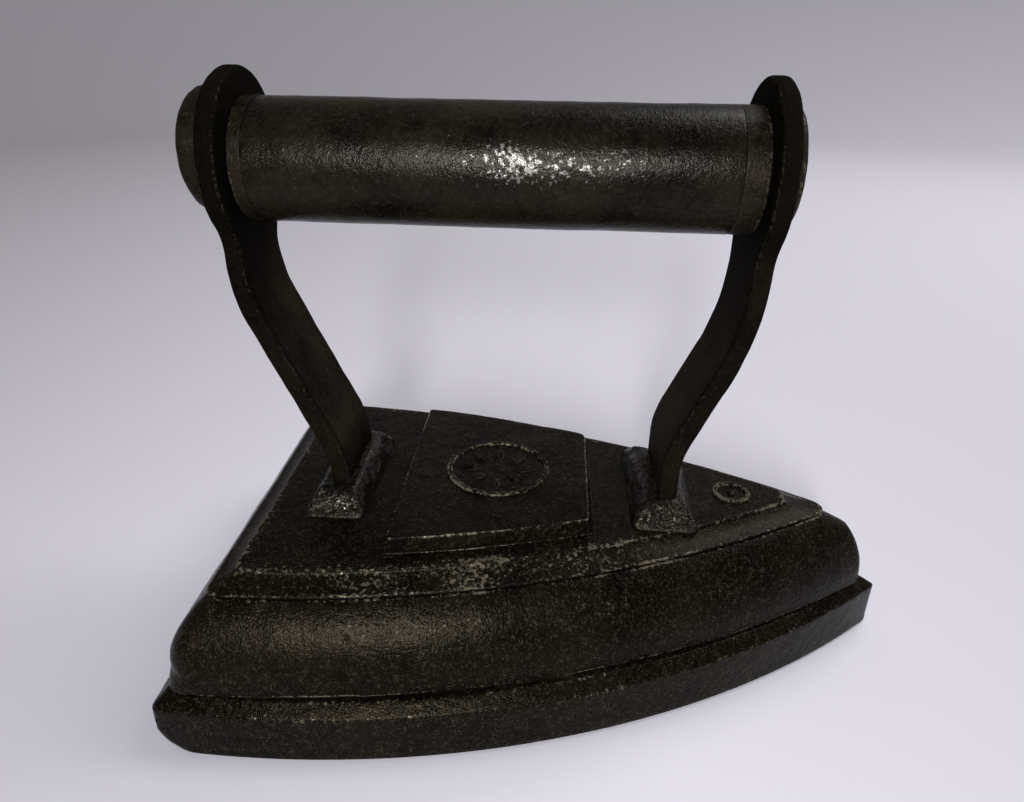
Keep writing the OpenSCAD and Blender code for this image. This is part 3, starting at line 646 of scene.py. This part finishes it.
BOSSES = (("rear_boss", REAR_FOOT_X - 0.2, 7.0, 18.4, 31), ("front_boss", FRONT_FOOT_X - 0.6, 7.6, 16.9, 47))
for boss_name, middle_x, half_length, half_width, seed in BOSSES:
    boss, boss_ridge, boss_hollow = boss_rings(middle_x, half_length, half_width)
    boss = roughen(boss, [(6, 0.7), (2.4, 0.44), (1.1, 0.22)], seed, smooth_step(boss[..., 2], TOP, 38.2))
    make_piece(boss_name, boss, boss_ridge, boss_hollow, boss_highlit_iron, "cast_iron", "body_casting")

# %% [markdown]
# **Raised panel.** On the real iron this panel carries cast words and a badge, which stay off this one.
# The plain panel keeps its sloping sides and its worn edge. Two circles and two straight ends enclose it,
# so the same rays work, with a shorter spine.
# %% Panel
PANEL_REAR, PANEL_FRONT = -37.0, 7.8
PANEL_SIDE_RADIUS = BODY_SIDE["radius"] - 14.6 - 4.8
PANEL_SIDE_SLOPE, PANEL_END_SLOPE = 0.3, 0.8
PANEL_TOP = TOP + 3.9
PANEL_SECTION = [(0.5, TOP - 0.6, 0), (0.5, TOP + 0.05, 0.2), (0, TOP + 0.25, 0.3), (-1, PANEL_TOP, 0.5),
                 (-2.5, PANEL_TOP, 0)]


def panel_rings():
    """Rays to two circles and two end lines, each moved inwards by its own slope times -out."""
    line, ridge, hollow = eased(PANEL_SECTION, 0.3)
    start, way = rays(-26.0, -3.0, PANEL_REAR, PANEL_FRONT, 30.4, 0.7)
    middle_x, middle_y = side_middle(BODY_SIDE)
    out = line[:, :1]
    radius = PANEL_SIDE_RADIUS + PANEL_SIDE_SLOPE * out
    sides = soft_min(leave_disc(start, way, (middle_x, middle_y), radius),
                     leave_disc(start, way, (middle_x, -middle_y), radius), 0.5)
    ends = soft_min(leave_line(start, way, (-1, 0), -PANEL_REAR + PANEL_END_SLOPE * out),
                    leave_line(start, way, (1, 0), PANEL_FRONT + PANEL_END_SLOPE * out), 0.5)
    distance = soft_min(sides, ends, 1.6)
    inner = (distance[-1] * np.linspace(1, 0, 30)[1:, None])
    distance = np.concatenate([distance, inner])
    up = np.concatenate([line[:, 1], np.full(len(inner), PANEL_TOP)])
    plan = start + way * distance[..., None]
    rings = np.concatenate([plan, np.broadcast_to(up[:, None, None], (*plan.shape[:2], 1))], axis=-1)
    under = np.concatenate([np.broadcast_to(start, (1, *start.shape)),
                            np.full((1, len(start), 1), TOP - 0.6)], axis=-1)
    pad = np.zeros(len(inner))
    return (np.concatenate([under, rings]), np.concatenate([[0], ridge, pad]),
            np.concatenate([[0], hollow, pad]))


panel, panel_ridge, panel_hollow = panel_rings()
panel = roughen(panel, [(9, 0.22), (3.0, 0.16), (1.5, 0.10)], 61, smooth_step(panel[..., 2], TOP, TOP + 1))
make_piece("raised_panel", panel, panel_ridge, panel_hollow, cast_iron, "cast_iron", "body_casting")

# %% [markdown]
# **Ornament.** The panel's middle has a plain ring with a rosette of leaves, and the toe a small ring
# with a pip. They are low and rubbed. The rings and buttons are turned sections, and a leaf is a lens in
# plan whose height falls off towards its edge.
# %% Turned ornament
ORNAMENT_X = (PANEL_REAR + PANEL_FRONT) / 2
TOE_MARK_X = 42.0


def standing(line, middle_x, around):
    """A section (radius, up) turned about an upright axis: (x + r cos a, r sin a, up)."""
    angle = np.linspace(0, 2 * np.pi, around, endpoint=False)
    radius = np.maximum(line[:, :1], 0)
    return np.stack([middle_x + radius * np.cos(angle), radius * np.sin(angle),
                     np.broadcast_to(line[:, 1:2], (len(line), around))], axis=-1)


def raised_ring(name, middle_x, outer, inner, base, height, seed):
    """A closed section with eased upper corners, turned, for a ring that stands on a face."""
    low = base - 0.4
    corners = [(inner, low, 0), (outer, low, 0), (outer, base + height, 0.42),
               (inner, base + height, 0.42), (inner, low, 0)]
    line, ridge, hollow = eased(corners, 0.22)
    rings = roughen(standing(line, middle_x, 168), [(4.0, 0.16), (1.4, 0.10)], seed)
    make_piece(name, rings, ridge, hollow, cast_iron, "cast_iron", "body_casting")


def raised_button(name, middle_x, radius, base, height, seed):
    """A low dome, up = height × √(1 - (r / radius)²), on a short upright foot."""
    share = np.linspace(0, 1, 12)
    dome = np.stack([radius * np.cos(share * np.pi / 2), base + height * np.sin(share * np.pi / 2)], -1)
    line = np.concatenate([[(0, base - 0.4), (radius, base - 0.4)], dome])
    rings = roughen(standing(line, middle_x, 60), [(1.5, 0.10)], seed)
    make_piece(name, rings, np.linspace(0, 0.5, len(line)), np.zeros(len(line)), cast_iron, "cast_iron",
               "body_casting")


raised_ring("panel_ring", ORNAMENT_X, 12.5, 11.0, PANEL_TOP, 0.62, 71)
raised_button("panel_button", ORNAMENT_X, 2.2, PANEL_TOP, 0.66, 72)
raised_ring("toe_ring", TOE_MARK_X, 4.5, 3.2, TOP, 0.62, 73)
raised_button("toe_pip", TOE_MARK_X, 1.2, TOP, 0.6, 74)

# %% Leaves
LEAVES = 8
LEAF_LENGTH, LEAF_HALF_WIDTH, LEAF_GAP, BUTTON_RADIUS = 7.5, 1.5, 0.4, 2.2


def leaf_rings(turn):
    """Loops of a lens, |across| = half width × (1 - t²) for t along the leaf from -1 to 1. The loops
    shrink inwards while the height rises as √(1 - share²), with a shallow vein along the middle."""
    t = np.linspace(-1, 1, 34)
    along = np.concatenate([t, t[-2:0:-1]])
    across = np.concatenate([1 - t ** 2, -(1 - t[-2:0:-1] ** 2)]) * LEAF_HALF_WIDTH
    share = np.concatenate([[0.0, 1.0], np.linspace(1, 0, 9)])[:, None]
    up = np.sqrt(np.maximum(1 - share ** 2, 0)) * 0.62 * (1 - 0.55 * along ** 4)
    up[0:2] = -0.4
    vein = 0.14 * np.exp(-(across * share / 0.22) ** 2)
    up = np.where(up > 0.3, up - vein, up)
    radius = BUTTON_RADIUS + LEAF_GAP + LEAF_LENGTH / 2 * (1 + along * np.maximum(share, 0.35))
    x = radius * np.cos(turn) - across * share * np.sin(turn)
    y = radius * np.sin(turn) + across * share * np.cos(turn)
    return np.stack([x + ORNAMENT_X, y, PANEL_TOP + up], axis=-1)


leaf_count_made = 0
for leaf in range(LEAVES):
    rings = leaf_rings(2 * np.pi * leaf / LEAVES)
    rings[0] = rings[1].mean(axis=0)
    ridge = np.linspace(0, 0.6, len(rings))
    make_piece(f"panel_leaf_{leaf + 1}", rings, ridge, 0 * ridge, cast_iron, "cast_iron", "body_casting")
    leaf_count_made += 1
print("Leaves:", leaf_count_made)

# %% [markdown]
# **Straps.** A smith flattened the end of a bar into a round eye, drew the bar down below it and bent it
# twice, inwards and straight again. So the strap is a flat sheet shape first, an outline with a rolled
# edge, which is then laid along the bent middle line. Hammer marks sink its faces, and the foot's end,
# hidden in the boss, is drawn to a round tang.
# %% Straps
AXIS_Z = (tube_low.z + tube_high.z) / 2 / MM
HEAD_RADIUS, HEAD_FILLET = 18.0, 11.0
NECK_HALF, FOOT_HALF = 11.2, 11.5
FOOT_BOTTOM = rear_low.z / MM
STRAP_EDGE = 1.15
# Heights where the strap's painted shade starts: one darkens it down towards the foot, the other up under the grip.
SHADE_TOP = 53.0
GRIP_SHADE_START = 72.0
HEAD_TOP = AXIS_Z + HEAD_RADIUS
BEND_START = AXIS_Z - HEAD_RADIUS
FILLET_Y = NECK_HALF + HEAD_FILLET
FILLET_DROP = np.sqrt((HEAD_RADIUS + HEAD_FILLET) ** 2 - FILLET_Y ** 2)


def strap_line(shift, foot_rise, lower_bend, straight):
    """Middle line of a strap from the top of its head down: its lean is 0, then grows round the upper
    bend, holds over the straight and goes back to 0. The line is the running sum of its direction,
    (sin lean, -cos lean). shift is how far the foot stands from the head."""
    drop = BEND_START - BOSS_TOP - foot_rise
    both_bends = (shift ** 2 + drop ** 2 - straight ** 2) / (2 * shift)
    lean = np.arctan2(drop, both_bends - shift) - np.arctan2(straight, both_bends)
    lengths = [2 * HEAD_RADIUS, (both_bends - lower_bend) * lean, straight, lower_bend * lean,
               BOSS_TOP + foot_rise - FOOT_BOTTOM]
    knots = np.concatenate([[0], np.cumsum(lengths)])
    down = np.linspace(0, knots[-1], 4000)
    lean_at = np.interp(down, knots, [0, 0, lean, lean, 0, 0])
    step = down[1]
    x = np.concatenate([[0], np.cumsum((np.sin(lean_at[1:]) + np.sin(lean_at[:-1])) / 2) * step])
    z = HEAD_TOP - np.concatenate([[0], np.cumsum((np.cos(lean_at[1:]) + np.cos(lean_at[:-1])) / 2) * step])
    return down, x, z, lean_at


def strap_outline(down, z):
    """Half of the flat outline as (down, across), from the top of the head to the tang's end: the head's
    circle, a hollow corner, the drawn strap that widens evenly to its foot and an elliptical end."""
    touch = np.pi - np.arctan2(FILLET_Y, FILLET_DROP)
    head = np.linspace(0, touch, 64)
    first = [(HEAD_RADIUS * (1 - np.cos(a)), HEAD_RADIUS * np.sin(a)) for a in head]
    corner = np.linspace(np.arctan2(FILLET_DROP, FILLET_Y), 0, 8)[1:]
    second = [(HEAD_RADIUS + FILLET_DROP - HEAD_FILLET * np.sin(a), FILLET_Y - HEAD_FILLET * np.cos(a))
              for a in corner]
    tang = 5.0
    lower = np.arange(second[-1][0] + 0.8, down[-1] - tang, 0.8)
    share = (AXIS_Z - FILLET_DROP - np.interp(lower, down, z)) / (AXIS_Z - FILLET_DROP - BOSS_TOP)
    third = np.stack([lower, NECK_HALF + (FOOT_HALF - NECK_HALF) * np.clip(share, 0, 1)], axis=-1)
    end = np.linspace(0, np.pi / 2, 26)[1:]
    last = [(down[-1] - tang + tang * np.sin(a), FOOT_HALF * np.cos(a)) for a in end]
    return np.concatenate([first, second, third, last])


def strap_rings(shift, foot_rise, lower_bend, straight, foot_shade):
    """The outline, moved inwards by the rolled edge, and the faces, whose loops close on the middle
    line. Each point (down, across, off) then goes to line + off × side of the line, and off grows
    evenly from the bend to the boss, where the strap is thickest."""
    down, x, z, lean = strap_line(shift, foot_rise, lower_bend, straight)
    half = strap_outline(down, z)
    half[-1, 1] = half[0, 1] = 0
    loop = np.concatenate([half, half[-2:0:-1] * (1, -1)])
    tangent = np.roll(loop, -1, axis=0) - np.roll(loop, 1, axis=0)
    tangent /= np.linalg.norm(tangent, axis=-1, keepdims=True)
    inward = np.stack([tangent[:, 1], -tangent[:, 0]], axis=-1)
    if (inward * (loop - loop.mean(axis=0))).sum() > 0:
        inward = -inward
    roll = np.linspace(0, np.pi / 2, 7)
    inset = STRAP_EDGE * (1 - np.cos(roll))
    off = STRAP_HALF - STRAP_EDGE + STRAP_EDGE * np.sin(roll)
    edge_inset = np.concatenate([inset[::-1], inset])
    edge_off = np.concatenate([-off[::-1], off])
    edge = loop + inward * edge_inset[:, None, None]
    share = np.linspace(0, 1, 15)[:-1]
    face = np.stack([np.broadcast_to(edge[0, :, 0], (len(share), len(loop))),
                     edge[0, :, 1] * share[:, None]], axis=-1)
    flat = np.concatenate([face, edge, face[::-1]])
    sides = np.concatenate([np.full(len(share), -STRAP_HALF), edge_off, np.full(len(share), STRAP_HALF)])
    at = flat[..., 0]
    line_x, line_z, line_lean = (np.interp(at, down, values) for values in (x, z, lean))
    below_bend = np.clip((BEND_START - line_z) / (BEND_START - BOSS_TOP), 0, 1)
    off = sides[:, None] * (1 + (STRAP_FOOT_HALF / STRAP_HALF - 1) * below_bend)
    rings = np.stack([line_x + off * np.cos(line_lean), flat[..., 1],
                      line_z + off * np.sin(line_lean)], axis=-1)
    from_edge = np.concatenate([(1 - share)[:, None] * np.abs(edge[0, :, 1]),
                                np.zeros(edge.shape[:2]), (1 - share[::-1])[:, None] * np.abs(edge[0, :, 1])])
    ridge = np.exp(-(from_edge / 0.5) ** 2) * np.where(from_edge > 0, 1.0,
            np.concatenate([np.zeros(len(share)), np.exp(-((np.abs(edge_off) - 1.65) / 0.3) ** 2),
                            np.zeros(len(share))])[:, None])
    # Painted shade on the strap: both narrow sides, a ramp that darkens towards the foot and a ramp that darkens up
    # under the grip.
    shaded_narrow_side = np.concatenate([np.zeros(len(share)), np.ones(len(edge)), np.zeros(len(share))])[:, None]
    foot_shadow = np.clip((SHADE_TOP - rings[..., 2]) / (SHADE_TOP - BOSS_TOP), 0, 1)
    grip_shadow = np.clip((rings[..., 2] - GRIP_SHADE_START) / (AXIS_Z - 12 - GRIP_SHADE_START), 0, 1)
    return rings, ridge, np.maximum(0.8 * shaded_narrow_side, np.maximum(foot_shade * foot_shadow, grip_shadow))


def make_strap(name, head_x, toward, foot_x, foot_rise, lower_bend, straight, foot_shade, seed):
    """Places a strap with its head's middle plane at head_x. toward is 1 if its foot is ahead of it."""
    rings, ridge, strap_shade = strap_rings(abs(foot_x - head_x), foot_rise, lower_bend, straight, foot_shade)
    rings = rings * (toward, 1, 1) + (head_x, 0, 0)
    rings = roughen(rings, [(13, 0.30), (5.0, 0.18), (2.1, 0.08)], seed)
    make_piece(name, rings, ridge, strap_shade, forged_iron, "forged_iron", name.replace("strap", "upright"))


REAR_HEAD_X = rear_low.x / MM + STRAP_HALF
FRONT_HEAD_X = front_high.x / MM - STRAP_HALF
# Only the rear strap gets the painted shadow at its foot.
make_strap("rear_strap", REAR_HEAD_X, 1, REAR_FOOT_X, 0.0, 25.5, 30.0, 1.0, 83)
make_strap("front_strap", FRONT_HEAD_X, -1, FRONT_FOOT_X, 5.5, 22.5, 16.0, 0.0, 97)

# %% [markdown]
# ** Grip.** The tube is rolled from sheet, so a butt seam runs along its underside, and its skin shows the shallow dents of the roller and the hammer. A pale patch of painted highlight lies on its upper front, a little above the middle, where the lamp's reflection falls. Its section, wall and eased mouths and all, is turned about the handle's axis. The two collars that centre it show as a narrow band at each end.
# %% Turned pieces along the handle
def lying(line, around, middle_z=None):
    """A section (x, radius) turned about the handle's axis: (x, r cos a, z + r sin a)."""
    angle = np.linspace(0, 2 * np.pi, around, endpoint=False)
    radius = np.maximum(line[:, 1:2], 0)
    axis = AXIS_Z if middle_z is None else middle_z[:, None]
    return np.stack([np.broadcast_to(line[:, :1], (len(line), around)), radius * np.cos(angle),
                     axis + radius * np.sin(angle)], axis=-1)


TUBE_RADIUS, TUBE_BORE, SEAM_WIDTH, SEAM_DEPTH = 12.5, 10.5, 0.4, 0.5
tube_x = tube_low.x / MM, tube_high.x / MM
tube_corners = [(tube_x[0], TUBE_BORE + 0.3, 0), (tube_x[0], TUBE_BORE, 0.25), (tube_x[1], TUBE_BORE, 0.25),
                (tube_x[1], TUBE_RADIUS, 0.12), (tube_x[0], TUBE_RADIUS, 0.12),
                (tube_x[0], TUBE_BORE + 0.3, 0)]
tube_line, tube_ridge, tube_hollow = eased(tube_corners, 0.6)
tube = lying(tube_line, 180)
outside = np.hypot(tube[..., 1], tube[..., 2] - AXIS_Z)
tube = roughen(tube, [(11, 0.20), (4.2, 0.10), (1.8, 0.05)], 113, smooth_step(outside, 10.8, 12.3))
seam = np.exp(-(tube[..., 1] / SEAM_WIDTH) ** 2) * (tube[..., 2] < AXIS_Z) * (outside > 11.5)
tube[..., 2] += SEAM_DEPTH * seam
# Painted highlight: a pale, partly metallic patch on the upper front of the grip, facing the key lamp.
GRIP_HIGHLIGHT_X, GRIP_HIGHLIGHT_LENGTH, GRIP_HIGHLIGHT_LIFT, GRIP_HIGHLIGHT_TURN = -6.5, 25.0, np.radians(11), 0.40
lift = np.arctan2(tube[..., 2] - AXIS_Z, -tube[..., 1])
grip_highlight = np.exp(-((tube[..., 0] - GRIP_HIGHLIGHT_X) / GRIP_HIGHLIGHT_LENGTH) ** 2 - ((lift - GRIP_HIGHLIGHT_LIFT) / GRIP_HIGHLIGHT_TURN) ** 2)
grip_highlight = 1.05 * grip_highlight * (outside > 11.5)
# The seam line is darkened as painted shade through the hollow value.
make_piece("grip_tube", tube, np.maximum(0.12 * tube_ridge[:, None], grip_highlight), np.maximum(tube_hollow[:, None], seam),
           handle_iron, "handle_sheet", "handle_tube")


def make_collar(name, head_face, toward, rim, seed):
    """A collar's rim and the plug behind it, from the head's inner face at head_face."""
    corners = [(0, 4.1, 0), (0, TUBE_RADIUS, 0.5), (rim, TUBE_RADIUS, 0.12), (rim, 10.4, 0),
               (rim + 7, 10.4, 0.4), (rim + 7, 4.1, 0), (0, 4.1, 0)]
    line, ridge, hollow = eased(corners, 0.5)
    line = line * (toward, 1) + (head_face, 0)
    rings = lying(line, 150)
    outer = np.hypot(rings[..., 1], rings[..., 2] - AXIS_Z)
    rings = roughen(rings, [(8, 0.2), (2.6, 0.12)], seed, smooth_step(outer, 10.6, 12))
    edges = np.maximum(ridge, hollow) * (np.abs(line[:, 0] - head_face) < 0.5 * rim)
    make_piece(name, rings, edges, 0 * edges, ferrule_iron, "ferrule_iron", name.replace("collar", "ferrule"))


REAR_RIM = tube_x[0] - REAR_HEAD_X - STRAP_HALF
FRONT_RIM = FRONT_HEAD_X - STRAP_HALF - tube_x[1]
make_collar("rear_collar", REAR_HEAD_X + STRAP_HALF, 1, REAR_RIM, 127)
make_collar("front_collar", FRONT_HEAD_X - STRAP_HALF, -1, FRONT_RIM, 131)

# %% [markdown]
# **Rivet and washer.** A long rivet holds the handle. Its thick head was hammered up hot, a little off
# the shank's middle, so it is not quite round and its face is dented. In front, a washer takes the blows
# that spread the shank into a low cap.
# %% Rivet and washer
rivet_low, rivet_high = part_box("handle_rivet")
washer_low, washer_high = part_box("front_washer")
HEAD_BACK, CAP_TOP = rivet_low.x / MM, rivet_high.x / MM
HEAD_FRONT = REAR_HEAD_X - STRAP_HALF
WASHER_FRONT = washer_high.x / MM
RIVET_RADIUS, SHANK_RADIUS, CAP_RADIUS = 12.3, 4.0, 6.5
HEAD_RISE = (rivet_high.z - tube_high.z) / MM + 0.2
WASHER_RISE = 0.6


def rivet_piece():
    """Head, shank and hammered cap as one turned section. The head's rings sit HEAD_RISE higher."""
    head = [(HEAD_BACK, 0, 0), (HEAD_BACK, RIVET_RADIUS, 1.8), (HEAD_FRONT, RIVET_RADIUS, 0.5),
            (HEAD_FRONT, SHANK_RADIUS, 0)]
    head_line, head_ridge, _ = eased(head, 0.5)
    angle = np.linspace(0, np.pi / 2, 9)
    cap = np.stack([WASHER_FRONT + (CAP_TOP - WASHER_FRONT) * np.sin(angle), CAP_RADIUS * np.cos(angle)], -1)
    shank = [(HEAD_FRONT, SHANK_RADIUS), (WASHER_FRONT, SHANK_RADIUS)]
    line = np.concatenate([head_line, shank, cap])
    rise = np.where(np.arange(len(line)) < len(head_line), HEAD_RISE, 0)
    ridge = np.abs(np.concatenate([head_ridge, np.zeros(2), np.linspace(0.9, 0, len(cap))]))
    rings = lying(line, 150, AXIS_Z + rise)
    reach = np.hypot(rings[..., 1], rings[..., 2] - AXIS_Z - rise[:, None])
    rings = roughen(rings, [(9, 0.5), (3.8, 0.34), (1.8, 0.1)], 139, smooth_step(reach, 3.9, 5.5))
    make_piece("rivet", rings, ridge, 0 * ridge, rivet_iron, "rivet_iron", "handle_rivet")


def washer_piece():
    """A thick ring whose outer front corner is chamfered and rubbed round."""
    back = FRONT_HEAD_X + STRAP_HALF
    corners = [(back, 4.1, 0), (back, RIVET_RADIUS, 0.3), (WASHER_FRONT - 0.7, RIVET_RADIUS, 0.5),
               (WASHER_FRONT, RIVET_RADIUS - 0.7, 0.5), (WASHER_FRONT, 4.1, 0), (back, 4.1, 0)]
    line, ridge, hollow = eased(corners, 0.4)
    edges = np.maximum(ridge, hollow)
    rings = roughen(lying(line, 150, np.full(len(line), AXIS_Z + WASHER_RISE)), [(8, 0.26), (3, 0.16)], 149)
    make_piece("washer", rings, edges, 0 * edges, rivet_iron, "rivet_iron", "front_washer")


rivet_piece()
washer_piece()

# %% [markdown]
# **The floor.** A round studio dish: flat under the iron, then a hollow curve up to a low wall. It is a
# profile turned about the vertical axis, so it looks the same from every side and hides no view.
# %% Floor
FLAT_RADIUS = 1.1
WALL_CURVE = 0.6
WALL_HEIGHT = 0.75
TURNS = 128


def studio_dish():
    """Radius and height: flat to FLAT_RADIUS, a quarter circle of WALL_CURVE, then straight up."""
    bend = np.linspace(0, np.pi / 2, 24)
    radius = np.concatenate([[0, 0.3, 0.7], FLAT_RADIUS + WALL_CURVE * np.sin(bend),
                             [FLAT_RADIUS + WALL_CURVE]])
    height = np.concatenate([[0, 0, 0], WALL_CURVE * (1 - np.cos(bend)), [WALL_HEIGHT]])
    angle = np.linspace(0, 2 * np.pi, TURNS, endpoint=False)
    return np.stack([radius[:, None] * np.cos(angle), radius[:, None] * np.sin(angle),
                     np.repeat(height[:, None], TURNS, axis=1)], axis=-1)


floor_mesh = ring_mesh("studio_floor", studio_dish())
floor_mesh.shade_smooth()
floor = bpy.data.objects.new("studio_floor", floor_mesh)
bpy.context.scene.collection.objects.link(floor)
paper = bpy.data.materials.new("pale_paper")
paper.use_nodes = True
paper_shader = paper.node_tree.nodes["Principled BSDF"]
paper_shader.inputs["Base Color"].default_value = (0.622, 0.606, 0.676, 1)
paper_shader.inputs["Roughness"].default_value = 0.85
paper_shader.inputs["Specular IOR Level"].default_value = 0.2
floor_mesh.materials.append(paper)
print("Floor of", len(floor_mesh.polygons), "faces")

# %% [markdown]
# **Light.** The photograph has one strong lamp just above the lens. A soft lamp in that direction gives
# the same bright spot on the grip and the same shadows behind, and a pale world fills the dark sides.
# %% Lamps and world
def soft_lamp(name, place, aim, width, height, power, spread=180):
    """A rectangular area lamp at place that faces aim. spread is the angle of its beam in degrees, which
    a grid before the lamp would narrow."""
    lamp = bpy.data.lights.new(name, "AREA")
    lamp.shape = "RECTANGLE"
    lamp.size, lamp.size_y = width, height
    lamp.energy = power
    lamp.spread = np.radians(spread)
    obj = bpy.data.objects.new(name, lamp)
    way = np.array(aim) - np.array(place)
    back = -way / np.linalg.norm(way)
    side = np.cross((0, 0, 1), back)
    side /= np.linalg.norm(side)
    turn = Matrix(np.stack([side, np.cross(back, side), back], axis=1).tolist()).to_4x4()
    obj.matrix_world = Matrix.Translation(place) @ turn
    bpy.context.scene.collection.objects.link(obj)
    return obj


KEY_AIM = (-0.013, 0, 0.08)
soft_lamp("key_lamp", (-0.029, -0.435, 0.23), KEY_AIM, 0.04, 0.13, 0.57, 80)
soft_lamp("top_lamp", (0.6, 0.4, 0.9), (0.25, 0.3, 0.0), 0.8, 0.8, 9.6)
world = bpy.data.worlds.new("pale_room")
world.use_nodes = True
world.node_tree.nodes["Background"].inputs["Color"].default_value = (1.0, 0.955, 0.90, 1)
world.node_tree.nodes["Background"].inputs["Strength"].default_value = 0.23
bpy.context.scene.world = world

# %% [markdown]
# **Camera.** The photograph was taken from a hand's width away with a wide lens, looking down at the
# near side. Its place and angles were found by fitting the iron's edges. The shift is only what is left
# between the middle of the lens and the middle of the picture.
# %% Camera
PICTURE_WIDTH = 1024
PICTURE_HEIGHT = 802
LENS_IN_PIXELS = 740.38
LENS_MIDDLE = (506.37, 379.73)
CAMERA_PLACE = (-0.003626, -0.154896, 0.136199)
CAMERA_YAW, CAMERA_PITCH, CAMERA_ROLL = 0.0602, 0.4315, 0.0158


def camera_turn(yaw, pitch, roll):
    """Right, up and back directions of a camera that looks along +Y, turned left, down, then rolled."""
    ahead = np.array([-np.sin(yaw) * np.cos(pitch), np.cos(yaw) * np.cos(pitch), -np.sin(pitch)])
    level = np.array([np.cos(yaw), np.sin(yaw), 0])
    over = np.cross(level, ahead)
    right = np.cos(roll) * level + np.sin(roll) * over
    up = -np.sin(roll) * level + np.cos(roll) * over
    return Matrix(np.stack([right, up, -ahead], axis=1).tolist()).to_4x4()


lens = bpy.data.cameras.new("photo_camera")
lens.sensor_fit = "HORIZONTAL"
lens.sensor_width = 36.0
lens.lens = LENS_IN_PIXELS / PICTURE_WIDTH * lens.sensor_width
lens.shift_x = (PICTURE_WIDTH / 2 - LENS_MIDDLE[0]) / PICTURE_WIDTH
lens.shift_y = (LENS_MIDDLE[1] - PICTURE_HEIGHT / 2) / PICTURE_WIDTH
lens.clip_start = 0.01
camera = bpy.data.objects.new("photo_camera", lens)
camera.matrix_world = Matrix.Translation(CAMERA_PLACE) @ camera_turn(CAMERA_YAW, CAMERA_PITCH, CAMERA_ROLL)
bpy.context.scene.collection.objects.link(camera)
bpy.context.scene.camera = camera
bpy.context.scene.view_settings.view_transform = "Standard"
print("Lens of", round(lens.lens, 2), "mm, shift", round(lens.shift_x, 4), round(lens.shift_y, 4))
